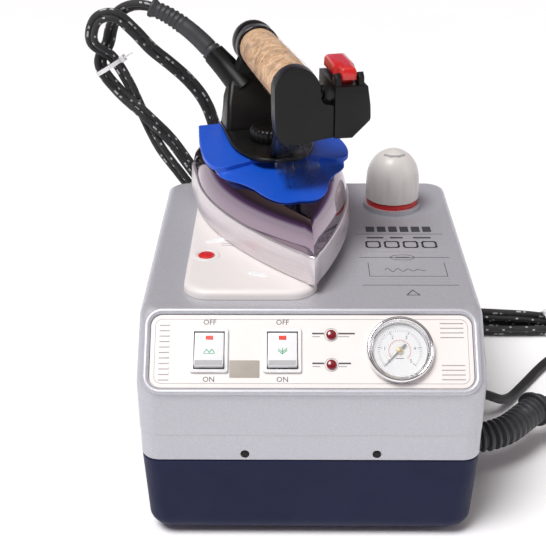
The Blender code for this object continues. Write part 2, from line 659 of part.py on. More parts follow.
def make_handle(finishes):
    iron = iron_frame()
    black = finishes["black_plastic"]
    half = [(0, 104), (11, 104.5), (19, 109), (26, 120), (31, 134), (33, 150), (33, 194), (28, 203), (0, 204)]
    low = SHIELD_TOP + GAP
    rings = [mirrored_ring(half, z, 16) for z in (low, SHOE_TOP)]
    bevel(loft("handle_shoe", rings, black, iron), 1.0, 2)

    # Front post: an arch that holds the grip, with an arm to the switch box and a leg
    axis_z, radius = GRIP_FRONT_Z, 16.5
    arch = [(radius * cos(radians(a)), axis_z + radius * sin(radians(a))) for a in range(0, 181, 15)]
    arch += [(-16.3, 104), (-15.2, 94), (-12.5, 88), (-8, 85.5), (0, 86), (12, 89.5), (26.6, 90.5)]
    arch += [(26.6, 116), (20.5, 116.5), (17.5, 118), (16.7, 121)]
    rings = [[(x, y, z) for x, z in arch] for y in (ARM_FRONT, ARM_FRONT + 14)]
    post = loft("front_post", rings, black, iron)
    leg_sections = [((114, SHOE_TOP + GAP), 9, 7), ((106, 64), 9.5, 7.5), ((90, 75), 11, 7.5)]
    leg_sections += [((73, 87), 13.5, 6.8), ((63.5, 96), 14.5, 6.2)]
    leg_rings = []
    for (y, z), half_x, half_y in leg_sections:
        outline = rounded_rectangle(half_x, half_y, 4, steps=2)
        leg_rings.append([(x, y + s, z) for x, s in outline])
    cut(post, loft("front_leg", leg_rings, None, iron, True), union=True)
    bevel(post, 1.6, 2, 50)

    # Rear post: a broad leg under a round hub
    leg_rings = []
    for z, centre, half_x, half_y in (
        (SHOE_TOP + GAP, (-5, 188), 27, 15),
        (78, (-5, 194), 24, 12),
        (98, (-4, 200.8), 18, 4.4),
        (112, (-3, 200.6), 13, 4.2),
    ):
        outline = rounded_rectangle(half_x, half_y, 3.6, centre, 3)
        leg_rings.append([(x, y, z) for x, y in outline])
    rear = loft("rear_post", leg_rings, black, iron)
    hub = cylinder("grip_hub", 17.6, 0, 10, None, grip_frame(196), 32, True)
    path = [(-14, 198, 86), (-23, 210, 97), (-32, 219, 109)]
    socket = swept("relief_socket", path, [11, 10, 8.6], None, iron, 16, True)
    cut(rear, hub, socket, union=True)


def make_grip(finishes):
    length = GRIP_REAR - GRIP_FRONT
    barrel = [(GRIP_RADIUS - 0.4, 0), (GRIP_RADIUS, 6), (GRIP_RADIUS + 0.3, length / 2)]
    barrel += [(GRIP_RADIUS, length - 6), (GRIP_RADIUS - 0.4, length)]
    lathe("cork_grip", barrel, finishes["cork"], grip_frame(GRIP_FRONT), 32)
    cap = [(17.4, 0), (17.8, 4), (17.2, 15), (14.5, 23), (9.5, 28.5), (0, 30.5)]
    lathe("grip_end_cap", cap, finishes["black_plastic"], grip_frame(206.7), 28)


def make_switch_box(finishes):
    """The thumb switch beside the front post: box, guard ears, button and microswitch."""
    iron = iron_frame()
    black = finishes["black_plastic"]
    outline = [(27, 89), (41, 89), (53.4, 102), (53, 112), (50.5, 127), (27, 127)]
    rings = [[(x, y, z) for x, z in outline] for y in (ARM_FRONT - 1, 103)]
    case = loft("switch_box", rings, black, iron)
    bevel(case, 1.5, 2, 20)
    ears = [
        box("guard_ear_left", (27.4, 56, 120), (31.2, 66, 136), None, iron, True),
        box("guard_ear_right", (44.2, 56, 120), (48.0, 66, 136), None, iron, True),
    ]
    cut(case, *ears, union=True)
    cut(case, box("switch_cavity", (30, 60, 92.5), (47.5, 99.5, 124), None, iron, True))
    cut(case, box("button_slot", (33, 63, 118), (42.5, 97, 132), None, iron, True))
    plan = [(32.0, 58), (43.4, 58), (43.4, 68), (45.5, 70), (45.5, 98), (29, 98), (29, 70), (32.0, 68)]
    rings = [[(x, y, z) for x, y in plan] for z in (130.8, 139.8)]
    button = loft("steam_button", rings, finishes["red_plastic"], iron)
    bevel(button, 2.2, 3, 50)
    cut(button, box("button_stem", (33.6, 64, 118.2), (41.9, 96, 133), None, iron, True), union=True)
    box("microswitch", (31, 63, 92.9), (46, 96, 114.6), finishes["white_plastic"], iron)


def make_thermostat(finishes):
    """A fluted knob on the shoe, under the grip."""
    iron = iron_frame()
    sides = 48
    rings = []
    for z, radius in ((SHOE_TOP + GAP, 17.0), (66.4, 16.6), (68.8, 14.5)):
        ring = []
        for i in range(sides):
            r = radius - 0.7 * (i % 2)
            ring.append((r * cos(tau * i / sides), 150 + r * sin(tau * i / sides), z))
        rings.append([(x, y - 150, z) for x, y, z in ring])
    loft("thermostat_knob", rings, finishes["black_plastic"], iron @ place(0, 150, 0))


def make_strain_relief(finishes):
    path = [(-34.5, 219.5, 110.6), (-42, 225.5, 118.5), (-52, 232, 127.5), (-66, 241, 137), (-80, 248.4, 143.4)]
    route = smooth_route(path, 4.5)
    last = len(route) - 1
    radii = []
    for k in range(last + 1):
        ribbed = k > 0.55 * last
        radii.append(7.6 - 1.0 * k / last - (0.8 if ribbed and k % 2 else 0.0))
    radii[-1] = radii[-2] = 8.0
    swept("strain_relief", route, radii, finishes["rubber"], iron_frame(), 14)


# ---------------------------------------------------------------- lines

LOOP_ROUTE = [(-132.5, 139, 319), (-143, 142, 319), (-154, 147, 314.5), (-162, 153, 306), (-167, 156, 295),
              (-169, 157, 284), (-169, 157, 276)]
HANK_ROUTE = [(-172, 149, 270), (-159, 146, 249), (-141, 143, 223), (-124, 140, 198), (-107, 138.5, 173),
              (-90, 138.5, 148), (-70, 139.5, 116), (-47, 142, 82), (-22, 147, 48), (8, 154, 24), (42, 160, 12.5),
              (80, 161, 10.8), (115, 156, 10.8), (150, 151, 10.8), (183, 149, 10.8), (210, 149, 10.8),
              (234, 150, 10.8), (255, 153, 10.8)]
RUN_ROUTE = [(-177, 142.5, 276), (-180, 140.5, 286), (-181, 139.5, 297), (-174, 138.5, 309), (-160, 138.5, 311),
             (-146, 142, 298), (-132, 145, 281), (-117, 148, 267), (-104, 150, 254), (-93, 151, 240),
             (-86, 152, 226), (-80, 153, 206), (-72, 154, 184), (-58, 155.5, 156), (-40, 157, 124),
             (-20, 159, 92), (4, 164, 62), (30, 172, 40), (44, 177, 31)]
TAIL_ROUTE = [(267, 166, 5.3), (285, 173, 5.3), (312, 177, 5.3), (342, 168, 5.3), (370, 145, 5.3),
              (386, 108, 5.3), (391, 65, 5.3), (388, 20, 5.3), (376, -18, 5.3), (350, -46, 5.3), (315, -60, 5.3),
              (280, -61, 5.3), (254, -55, 5.3), (237, -43, 5.6), (229, -30, 9), (223, -17, 16), (213, -10.5, 25),
              (202, -13.5, 32), (193, -22, 35.4)]
SLEEVE_ROUTE = [(129.2, -67.7, 32), (141, -65.3, 32.5), (156, -58, 33.5), (170, -45, 34.5), (181, -33.5, 35)]
MAINS_ROUTE = [(149, 5.2, 24.4), (157, 8, 20), (166, 15.5, 12.5), (176, 28, 6.5), (187, 44, 4.3),
               (200, 62, 4.3), (212, 79, 4.3), (224, 93.5, 4.3), (238, 105, 4.3), (257, 110.3, 4.3),
               (277, 110.8, 4.3)]
MAINS_END_ROUTE = [(325, 3.5, 20), (318, -3, 20), (311.5, -7.7, 20), (305, -10.3, 20)]


def make_iron_line(finishes):
    rubber = finishes["rubber"]
    tube("line_loop", smooth_route(LOOP_ROUTE, 12), LINE_RADIUS, rubber)
    tube("line_hank", smooth_route(HANK_ROUTE, 24), HANK_RADIUS, rubber)
    tube("line_run", smooth_route(RUN_ROUTE, 16), LINE_RADIUS, rubber)
    tube("line_tail", smooth_route(TAIL_ROUTE, 24), LINE_RADIUS, rubber)


def make_sleeve(finishes):
    """The corrugated sleeve on the outlet gland, with a collar at its free end."""
    route = smooth_route(SLEEVE_ROUTE, 4.4)
    radii = [11.6 if k % 2 else 10.2 for k in range(len(route))]
    radii[-1] = 10.2
    end, ahead = route[-1], (route[-1] - route[-2]).normalized()
    for along, radius in ((0.3, 14.6), (3.0, 14.6), (3.3, 10.6), (11.0, 9.8)):
        route.append(end + ahead * along)
        radii.append(radius)
    swept("outlet_sleeve", route, radii, finishes["black_plastic"], WORLD, 18)


def make_mains(finishes):
    rubber = finishes["rubber"]
    tube("mains_cord", smooth_route(MAINS_ROUTE, 14), MAINS_RADIUS, rubber)
    tube("mains_cord_end", smooth_route(MAINS_END_ROUTE, 14), MAINS_RADIUS, rubber)
    coil = [(COIL_INNER, COIL_LOW), (COIL_OUTER, COIL_LOW), (COIL_OUTER, COIL_HIGH), (COIL_INNER, COIL_HIGH)]
    lathe("mains_coil", coil, rubber, place(*COIL_CENTRE, 0), 32, closed=True)
    plug = aim((303.0, -10.5, 20), (-1, 0, 0))
    profile = [(5.0, 0), (6.5, 10), (13, 16), (18.5, 22), (18.5, 46)]
    body = lathe("mains_plug", profile, finishes["rubber"], plug, 28)
    pins = []
    for label, offset in (("upper", 9.5), ("lower", -9.5)):
        pin = [(2.4, 40), (2.4, 63), (1.2, 65)]
        pins.append(lathe(f"plug_pin_{label}", pin, None, plug @ place(0, offset, 0), 12, True))
    cut(body, *pins, union=True)


def tie_ring(name, route, index, inner, finishes):
    ahead = (Vector(route[index + 1]) - Vector(route[index - 1])).normalized()
    band = [(inner, -1.8), (inner + 1.2, -1.8), (inner + 1.2, 1.8), (inner, 1.8)]
    lathe(name, band, finishes["white_plastic"], aim(route[index], ahead), 24, closed=True)


def make_ties(finishes):
    hank = smooth_route(HANK_ROUTE, 24)
    tie_ring("tie_upper", hank, 1, HANK_RADIUS + 0.4, finishes)


def build():
    clear_scene()
    finishes = make_finishes()
    make_base(finishes)
    make_housing(finishes)
    make_front_screws(finishes)
    make_panel(finishes)
    for label, x in zip(("left", "right"), SWITCH_X):
        make_switch(label, x, finishes)
    make_lamps(finishes)
    make_gauge(finishes)
    make_rest_mat(finishes)
    make_filler(finishes)
    make_boiler(finishes)
    make_boiler_fittings(finishes)
    make_glands(finishes)
    make_sole(finishes)
    make_cover(finishes)
    make_shield(finishes)
    make_handle(finishes)
    make_grip(finishes)
    make_switch_box(finishes)
    make_thermostat(finishes)
    make_strain_relief(finishes)
    make_iron_line(finishes)
    make_sleeve(finishes)
    make_mains(finishes)
    make_ties(finishes)


build()
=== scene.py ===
"""Looks of a steam generator iron: a boiler unit with its iron resting on top.

Lengths are millimetres until a mesh or a point is made. X is the unit's width,
+Y points to its back and Z = 0 is the surface that it stands on.
"""

import json
from math import atan2, cos, pi, radians, sin, sqrt, tan, tau

import bmesh
import bpy
from mathutils import Matrix, Vector, noise
from mathutils.geometry import interpolate_bezier

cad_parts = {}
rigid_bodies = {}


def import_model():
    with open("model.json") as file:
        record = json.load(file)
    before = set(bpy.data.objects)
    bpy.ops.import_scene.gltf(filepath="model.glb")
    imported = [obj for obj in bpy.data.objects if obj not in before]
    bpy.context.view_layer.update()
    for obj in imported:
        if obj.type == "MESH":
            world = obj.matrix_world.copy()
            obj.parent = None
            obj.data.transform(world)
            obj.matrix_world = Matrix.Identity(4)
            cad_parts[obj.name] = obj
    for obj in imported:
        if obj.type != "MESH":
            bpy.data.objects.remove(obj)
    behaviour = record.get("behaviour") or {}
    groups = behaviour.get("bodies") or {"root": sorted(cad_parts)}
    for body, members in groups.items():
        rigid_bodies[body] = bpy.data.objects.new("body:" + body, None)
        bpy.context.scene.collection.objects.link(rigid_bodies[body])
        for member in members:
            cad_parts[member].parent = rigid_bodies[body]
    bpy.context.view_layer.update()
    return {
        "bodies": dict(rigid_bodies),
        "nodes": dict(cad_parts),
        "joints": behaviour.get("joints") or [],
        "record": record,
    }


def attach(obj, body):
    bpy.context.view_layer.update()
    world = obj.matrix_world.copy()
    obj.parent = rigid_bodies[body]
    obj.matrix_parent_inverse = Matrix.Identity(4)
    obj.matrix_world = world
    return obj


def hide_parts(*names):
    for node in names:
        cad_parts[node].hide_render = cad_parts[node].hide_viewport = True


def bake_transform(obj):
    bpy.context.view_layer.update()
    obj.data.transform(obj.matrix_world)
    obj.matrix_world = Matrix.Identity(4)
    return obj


MM = 0.001
WORLD = Matrix.Identity(4)
FINE = 144  # sides of a fluted knob

# Boiler unit
WIDTH, DEPTH = 240.0, 274.0
FRONT_Y, BACK_Y = -148.0, 126.0
BASE_TOP = 69.7
HOUSING_BOTTOM = 70.0
FRONT_TOP, HOUSING_TOP = 127.4, 167.6
SLOPE_ANGLE = radians(45.2)
PANEL_HALF = 110.6
PANEL_LOW, PANEL_HIGH, PANEL_FACE = 2.5, 54.1, -1.0
SWITCH_X, SWITCH_Y = (-70.0, -19.8), 28.5
LAMP_X, LAMP_Y = 13.7, (39.8, 18.8)
GAUGE_CENTRE = (60.5, 28.8)
CAP_CENTRE = (70.5, 73.5)
OUTLET = (119.3, -68.0, 32.0)
MAINS_INLET = (119.3, 5.0, 25.0)

# Iron
MAT_TOP = 174.6
NOSE = (3.0, -87.0, MAT_TOP)
IRON_TURN = radians(12.6)
SOLE_LENGTH, SOLE_HALF, SOLE_TOP = 208.0, 61.0, 22.4
COVER_TOP = 46.0
SHIELD_TOP, SHOE_TOP = 54.0, 58.0
GRIP_FRONT_Z, GRIP_DROP = 125.4, 0.049

# Lines
LINE_WIDTH, LINE_STEP = 11.5, 2.2
MAINS_RADIUS = 4.0
COIL_CENTRE = (310.0, 60.0)


# ---------------------------------------------------------------- frames


def place(x, y, z):
    return Matrix.Translation(Vector((x, y, z)) * MM)


def iron_frame():
    return place(*NOSE) @ Matrix.Rotation(IRON_TURN, 4, "Z")


def panel_frame():
    """X along the unit, Y up the slope, Z out of the panel."""
    up = Vector((0, sin(SLOPE_ANGLE), cos(SLOPE_ANGLE)))
    out = Vector((0, -cos(SLOPE_ANGLE), sin(SLOPE_ANGLE)))
    axes = Matrix((Vector((1, 0, 0)), up, out)).transposed().to_4x4()
    return place(0, FRONT_Y, FRONT_TOP) @ axes


def aim(point, direction):
    turn = Vector(direction).to_track_quat("Z", "Y").to_matrix().to_4x4()
    return place(*point) @ turn


def grip_frame(y):
    axis_z = GRIP_FRONT_Z - GRIP_DROP * (y - 62.0)
    return iron_frame() @ aim((0, y, axis_z), (0, 1, -GRIP_DROP))


# ---------------------------------------------------------------- materials


def ramp_in(tree, fac, stops):
    """Colours by a value between 0 and 1."""
    made = tree.nodes.new("ShaderNodeValToRGB")
    while len(made.color_ramp.elements) < len(stops):
        made.color_ramp.elements.new(0.5)
    for element, (at, colour) in zip(made.color_ramp.elements, stops):
        element.position = at
        element.color = (*colour, 1.0)
    tree.links.new(fac, made.inputs["Fac"])
    return made.outputs["Color"]


class Nodes:
    """Short calls for building one material's nodes."""

    def __init__(self, name):
        self.material = bpy.data.materials.new(name)
        self.material.use_nodes = True
        self.tree = self.material.node_tree
        self.shader = self.tree.nodes["Principled BSDF"]
        coords = self.tree.nodes.new("ShaderNodeTexCoord")
        self.point = coords.outputs["Object"]
        self.uv = coords.outputs["UV"]

    def link(self, a, b):
        self.tree.links.new(a, b)

    def set(self, **values):
        for key, value in values.items():
            socket = self.shader.inputs[key.replace("_", " ")]
            socket.default_value = (*value, 1.0) if isinstance(value, tuple) else value

    def noise(self, scale, detail=3.0, rough=0.5, stretch=None):
        source = self.point
        if stretch:
            mapping = self.tree.nodes.new("ShaderNodeMapping")
            mapping.inputs["Scale"].default_value = stretch
            self.link(source, mapping.inputs["Vector"])
            source = mapping.outputs["Vector"]
        made = self.tree.nodes.new("ShaderNodeTexNoise")
        made.inputs["Scale"].default_value = scale
        made.inputs["Detail"].default_value = detail
        made.inputs["Roughness"].default_value = rough
        self.link(source, made.inputs["Vector"])
        return made.outputs["Fac"]

    def cells(self, scale):
        """A random colour for each small cell."""
        made = self.tree.nodes.new("ShaderNodeTexVoronoi")
        made.inputs["Scale"].default_value = scale
        self.link(self.point, made.inputs["Vector"])
        return made.outputs["Color"]

    def ramp(self, fac, stops):
        return ramp_in(self.tree, fac, stops)

    def spread(self, fac, low, high, a=0.0, b=1.0):
        made = self.tree.nodes.new("ShaderNodeMapRange")
        made.inputs["From Min"].default_value = a
        made.inputs["From Max"].default_value = b
        made.inputs["To Min"].default_value = low
        made.inputs["To Max"].default_value = high
        self.link(fac, made.inputs["Value"])
        return made.outputs["Result"]

    def bump(self, height, strength, distance):
        made = self.tree.nodes.new("ShaderNodeBump")
        made.inputs["Strength"].default_value = strength
        made.inputs["Distance"].default_value = distance
        self.link(height, made.inputs["Height"])
        self.link(made.outputs["Normal"], self.shader.inputs["Normal"])

    def colour(self, socket):
        self.link(socket, self.shader.inputs["Base Color"])

    def rough(self, socket):
        self.link(socket, self.shader.inputs["Roughness"])


def shade(colour, factor):
    return tuple(min(c * factor, 1.0) for c in colour)


def moulded(name, colour, roughness, grain=900.0, bump=0.12, vary=0.06, coat=0.0, shine=0.5):
    """Moulded plastic or paint: a fine grain with slow changes of tone and gloss."""
    n = Nodes(name)
    n.set(Specular_IOR_Level=shine, Coat_Weight=coat, Coat_Roughness=0.12)
    slow = n.noise(14.0, 4.0)
    n.colour(n.ramp(slow, [(0.3, shade(colour, 1 - vary)), (0.7, shade(colour, 1 + vary))]))
    n.rough(n.spread(n.noise(60.0, 5.0), roughness - 0.05, roughness + 0.07, 0.3, 0.7))
    n.bump(n.noise(grain, 2.0), bump, 0.0002)
    return n.material


def lacquer():
    """Silver lacquer with metal flakes under a thin clear coat."""
    n = Nodes("silver_lacquer")
    n.set(Metallic=0.35, Coat_Weight=0.35, Coat_Roughness=0.18)
    flakes = n.cells(2600.0)
    tones = [(0.0, (0.45, 0.45, 0.49)), (0.55, (0.50, 0.50, 0.54)), (1.0, (0.60, 0.60, 0.64))]
    n.colour(n.ramp(flakes, tones))
    n.rough(n.spread(n.noise(500.0, 3.0), 0.36, 0.5, 0.3, 0.7))
    n.bump(n.noise(1500.0, 2.0), 0.05, 0.0001)
    return n.material


def polished(name, colour, low, high, scratches=0.02):
    """Bare metal between two roughnesses, with faint scratches."""
    n = Nodes(name)
    n.set(Metallic=1.0, Base_Color=colour)
    n.rough(n.spread(n.noise(45.0, 5.0), low, high, 0.35, 0.65))
    n.bump(n.noise(260.0, 4.0, 0.6, (1.0, 8.0, 1.0)), scratches, 0.0001)
    return n.material


def satin_sole():
    """Ground aluminium: fine level scratches on a satin face."""
    n = Nodes("satin_aluminium")
    n.set(Metallic=0.85)
    lines = n.noise(30.0, 6.0, 0.7, (1.0, 1.0, 60.0))
    n.colour(n.ramp(lines, [(0.2, (0.62, 0.57, 0.59)), (0.8, (0.86, 0.81, 0.83))]))
    n.rough(n.spread(lines, 0.24, 0.42, 0.25, 0.75))
    n.bump(lines, 0.06, 0.0002)
    return n.material


def cork():
    """Pressed cork: warm grains with small dark pits."""
    n = Nodes("cork")
    grains = n.cells(330.0)
    dark = n.noise(420.0, 6.0, 0.7)
    tones = [(0.0, (0.50, 0.29, 0.15)), (0.5, (0.68, 0.43, 0.25)), (1.0, (0.80, 0.58, 0.40))]
    base = n.ramp(grains, tones)
    mix = n.tree.nodes.new("ShaderNodeMix")
    mix.data_type = "RGBA"
    mix.blend_type = "MULTIPLY"
    n.link(n.spread(dark, 1.0, 0.0, 0.30, 0.42), mix.inputs["Factor"])
    n.link(base, mix.inputs["A"])
    mix.inputs["B"].default_value = (0.35, 0.20, 0.12, 1.0)
    n.colour(mix.outputs["Result"])
    n.set(Roughness=0.75)
    n.bump(dark, 0.5, 0.0008)
    return n.material


def film():
    """Thin clear wrapping with sharp wrinkles."""
    n = Nodes("clear_film")
    n.set(Base_Color=(0.02, 0.02, 0.025), Roughness=0.04, Specular_IOR_Level=1.0)
    wrinkles = n.noise(90.0, 6.0, 0.7)
    n.link(n.spread(wrinkles, 0.04, 0.45, 0.48, 0.70), n.shader.inputs["Alpha"])
    n.bump(wrinkles, 0.9, 0.003)
    return n.material


def braid(name, colour, light):
    """Woven sleeve yarn: short diagonal threads either way."""
    n = Nodes(name)
    n.set(Roughness=0.6, Sheen_Weight=0.15)
    waves = []
    for turn in (0.8, -0.8):
        mapping = n.tree.nodes.new("ShaderNodeMapping")
        mapping.inputs["Rotation"].default_value = (0, 0, turn)
        n.link(n.uv, mapping.inputs["Vector"])
        wave = n.tree.nodes.new("ShaderNodeTexWave")
        wave.inputs["Scale"].default_value = 260.0
        n.link(mapping.outputs["Vector"], wave.inputs["Vector"])
        waves.append(wave.outputs["Fac"])
    both = n.tree.nodes.new("ShaderNodeMath")
    both.operation = "MULTIPLY"
    n.link(waves[0], both.inputs[0])
    n.link(waves[1], both.inputs[1])
    n.colour(n.ramp(both.outputs[0], [(0.1, shade(colour, 0.6)), (0.7, light)]))
    n.bump(both.outputs[0], 0.6, 0.0005)
    return n.material


def glass():
    n = Nodes("gauge_lens")
    n.set(Base_Color=(0.95, 0.98, 0.98), Roughness=0.03, Alpha=0.12, Specular_IOR_Level=0.8)
    n.rough(n.spread(n.noise(80.0), 0.02, 0.05))
    return n.material


def make_materials():
    return {
        "lacquer": lacquer(),
        "navy": moulded("navy_base", (0.006, 0.009, 0.042), 0.5, 1400.0, 0.10, 0.08, 0.0, 0.22),
        "cream": moulded("cream_panel", (0.80, 0.755, 0.73), 0.42, 900.0, 0.05, 0.02),
        "mat": moulded("rest_silicone", (0.74, 0.70, 0.685), 0.42, 700.0, 0.06, 0.02, 0.1),
        "red": moulded("red_gloss", (0.62, 0.018, 0.016), 0.24, 500.0, 0.03, 0.08, 0.4),
        "red_clear": moulded("red_window", (0.75, 0.05, 0.03), 0.2, 400.0, 0.02, 0.05, 0.5),
        "black": moulded("black_moulding", (0.003, 0.003, 0.003), 0.34, 1500.0, 0.1, 0.15, 0.0, 0.3),
        "rubber": moulded("black_rubber", (0.018, 0.018, 0.019), 0.55, 900.0, 0.2, 0.12),
        "grey_rubber": moulded("grey_sleeve", (0.035, 0.036, 0.04), 0.45, 900.0, 0.15, 0.1),
        "white": moulded("white_gloss", (0.80, 0.80, 0.81), 0.25, 600.0, 0.02, 0.02, 0.25),
        "grey": moulded("grey_plastic", (0.45, 0.45, 0.46), 0.4, 700.0, 0.04, 0.03),
        "cap": moulded("cap_plastic", (0.66, 0.63, 0.60), 0.36, 900.0, 0.05, 0.03, 0.15),
        "blue": moulded("blue_guard", (0.008, 0.085, 0.56), 0.4, 900.0, 0.05, 0.07, 0.1, 0.35),
        "ink": moulded("dark_print", (0.05, 0.05, 0.06), 0.5, 800.0, 0.02, 0.05),
        # grey used for printed lines and also for the painted shadows under the panel's ribs
        "grey_ink_and_shade": moulded("grey_print_and_painted_shade", (0.36, 0.35, 0.37), 0.5, 800.0, 0.02, 0.05),
        "green_ink": moulded("green_print", (0.02, 0.36, 0.16), 0.5, 800.0, 0.02, 0.05),
        "red_ink": moulded("red_print", (0.60, 0.03, 0.03), 0.5, 800.0, 0.02, 0.05),
        "lamp": moulded("lamp_red", (0.20, 0.006, 0.014), 0.16, 400.0, 0.02, 0.1, 0.6),
        "foil": polished("silver_foil", (0.22, 0.20, 0.18), 0.3, 0.5, 0.2),
        "chrome": polished("mirror_chrome", (0.86, 0.86, 0.87), 0.02, 0.07),
        # the dome cover is bright chrome; this colour is darkened and tinted purple-brown as a painted dark
        # reflection
        "dome": polished("chrome_painted_dark_reflections", (0.34, 0.27, 0.33), 0.02, 0.06),
        "steel": polished("plain_steel", (0.56, 0.57, 0.59), 0.25, 0.4, 0.1),
        "brass": polished("brass", (0.72, 0.50, 0.20), 0.2, 0.35, 0.08),
        "sole": satin_sole(),
        "cork": cork(),
        "film": film(),
        "braid": braid("black_braid", (0.012, 0.012, 0.013), (0.035, 0.035, 0.037)),
        "fleck": braid("white_fleck", (0.5, 0.5, 0.5), (0.85, 0.85, 0.85)),
        "glass": glass(),
    }


# ---------------------------------------------------------------- solids


def make(name, verts, faces, material, frame=WORLD, sharp=35):
    """A mesh object in world coordinates from millimetres in its own frame."""
    mesh = bpy.data.meshes.new(name)
    mesh.from_pydata([frame @ (Vector(v) * MM) for v in verts], [], faces)
    tidy = bmesh.new()
    tidy.from_mesh(mesh)
    bmesh.ops.remove_doubles(tidy, verts=tidy.verts, dist=1e-7)
    bmesh.ops.recalc_face_normals(tidy, faces=tidy.faces)
    tidy.to_mesh(mesh)
    tidy.free()
    mesh.shade_smooth()
    mesh.set_sharp_from_angle(angle=radians(sharp))
    mesh.materials.append(material)
    made = bpy.data.objects.new(name, mesh)
    bpy.context.collection.objects.link(made)
    return made


def ring_faces(count, size, closed=False, caps=True):
    """Faces between rings of the same size; closed joins the last ring to the first."""
    faces = []
    for k in range(count if closed else count - 1):
        low, high = k * size, (k + 1) % count * size
        for i in range(size):
            j = (i + 1) % size
            faces.append((low + i, low + j, high + j, high + i))
    if caps and not closed:
        faces.append(tuple(range(size)))
        faces.append(tuple((count - 1) * size + i for i in range(size)))
    return faces


def loft(name, rings, material, frame=WORLD, sharp=35, closed=False):
    verts = [v for ring in rings for v in ring]
    return make(name, verts, ring_faces(len(rings), len(rings[0]), closed), material, frame, sharp)


def open_tube(name, rings, material, frame):
    """A smooth skin through the rings, with open ends."""
    verts = [v for ring in rings for v in ring]
    return make(name, verts, ring_faces(len(rings), len(rings[0]), caps=False), material, frame, 180)


def prism(name, outline, low, high, material, frame=WORLD):
    return loft(name, [[(x, y, z) for x, y in outline] for z in (low, high)], material, frame)


def upright(name, outline, front, back, material, frame):
    """A prism along Y from an outline in X and Z."""
    return loft(name, [[(x, y, z) for x, z in outline] for y in (front, back)], material, frame)


def block(name, low, high, material, frame=WORLD):
    outline = [(low[0], low[1]), (high[0], low[1]), (high[0], high[1]), (low[0], high[1])]
    return prism(name, outline, low[2], high[2], material, frame)


def round_ring(sides, z, radius_at):
    """A level ring; radius_at gives its radius at each angle."""
    turns = [tau * i / sides for i in range(sides)]
    return [(radius_at(a) * cos(a), radius_at(a) * sin(a), z) for a in turns]


def turned(name, profile, material, frame=WORLD, sides=64, closed=False):
    rings = [round_ring(sides, z, lambda angle, r=radius: max(r, 0.001)) for radius, z in profile]
    return loft(name, rings, material, frame, closed=closed)


def rod(name, radius, low, high, material=None, frame=WORLD, sides=48):
    return turned(name, [(radius, low), (radius, high)], material, frame, sides)


def arc(cx, cy, radius, start, end, steps):
    """Points on an arc, in degrees."""
    points = []
    for k in range(steps + 1):
        angle = radians(start + (end - start) * k / steps)
        points.append((cx + radius * cos(angle), cy + radius * sin(angle)))
    return points


def rounded(half_x, half_y, radius, centre=(0.0, 0.0), steps=8):
    """A rectangle's outline with round corners."""
    cx, cy = half_x - radius, half_y - radius
    x, y = centre
    points = []
    for k, (sx, sy) in enumerate(((1, 1), (-1, 1), (-1, -1), (1, -1))):
        points += arc(x + sx * cx, y + sy * cy, radius, 90 * k, 90 * k + 90, steps)
    return points


def resample(points, count):
    """Evenly spaced points along a polyline."""
    points = [Vector(p) for p in points]
    lengths = [0.0]
    for a, b in zip(points, points[1:]):
        lengths.append(lengths[-1] + (b - a).length)
    made = []
    k = 0
    for i in range(count):
        want = lengths[-1] * i / (count - 1)
        while k < len(lengths) - 2 and lengths[k + 1] < want:
            k += 1
        share = (want - lengths[k]) / max(lengths[k + 1] - lengths[k], 1e-9)
        made.append(points[k].lerp(points[k + 1], share))
    return made


def smooth_route(points, spacing):
    """Evenly spaced points on a smooth curve through the given ones."""
    nodes = [Vector(p) for p in points]
    slopes = []
    for k in range(len(nodes)):
        before, after = nodes[max(k - 1, 0)], nodes[min(k + 1, len(nodes) - 1)]
        slopes.append((after - before).normalized())
    fine = []
    for k in range(len(nodes) - 1):
        reach = (nodes[k + 1] - nodes[k]).length / 3
        handles = (nodes[k] + slopes[k] * reach, nodes[k + 1] - slopes[k + 1] * reach)
        fine += interpolate_bezier(nodes[k], *handles, nodes[k + 1], 24)[:-1]
    fine.append(nodes[-1])
    length = sum((b - a).length for a, b in zip(fine, fine[1:]))
    return resample(fine, max(3, round(length / spacing) + 1))


def smooth_outline(points, count):
    """A smooth open curve through 2-D points, as evenly spaced 2-D points."""
    route = smooth_route([(x, y, 0) for x, y in points], 0.5)
    return [(p.x, p.y) for p in resample(route, count)]


def through(points, steps=6):
    """A smooth 2-D curve that keeps its given points, with the same steps between each pair."""
    made = []
    for k in range(len(points) - 1):
        a, b = Vector(points[k]), Vector(points[k + 1])
        before, after = Vector(points[max(k - 1, 0)]), Vector(points[min(k + 2, len(points) - 1)])
        for i in range(steps):
            t = i / steps
            curve = 2 * a + (b - before) * t + (2 * before - 5 * a + 4 * b - after) * t * t
            p = (curve + (3 * a - before - 3 * b + after) * t ** 3) / 2
            made.append((max(p.x, 0.0), p.y))
    return made + [tuple(points[-1])]


def both_sides(half, z):
    """A closed ring from a half outline on the right."""
    left = [(-x, y) for x, y in reversed(half[1:-1])]
    return [(x, y, z) for x, y in half + left]


def frames_along(points):
    """A side and an across direction at each point, carried without twist."""
    made = []
    side = Vector((0, 0, 1))
    for k in range(len(points)):
        ahead = (points[min(k + 1, len(points) - 1)] - points[max(k - 1, 0)]).normalized()
        if abs(ahead.dot(side)) > 0.98 and k == 0:
            side = Vector((1, 0, 0))
        side = (side - ahead * side.dot(ahead)).normalized()
        made.append((side.copy(), ahead.cross(side)))
    return made


def swept(name, points, radii, material, frame=WORLD, sides=24, sharp=50):
    points = [Vector(p) for p in points]
    rings = []
    for point, radius, (side, across) in zip(points, radii, frames_along(points)):
        turns = [tau * i / sides for i in range(sides)]
        rings.append([point + radius * (cos(a) * side + sin(a) * across) for a in turns])
    return loft(name, rings, material, frame, sharp)


def mirrored(half, z, count=40):
    """A closed ring from a half outline that runs nose to heel on the right."""
    right = resample([(x, y, 0) for x, y in half], count)
    left = [Vector((-p.x, p.y, 0)) for p in reversed(right[1:-1])]
    return [(p.x, p.y, z) for p in right + left]


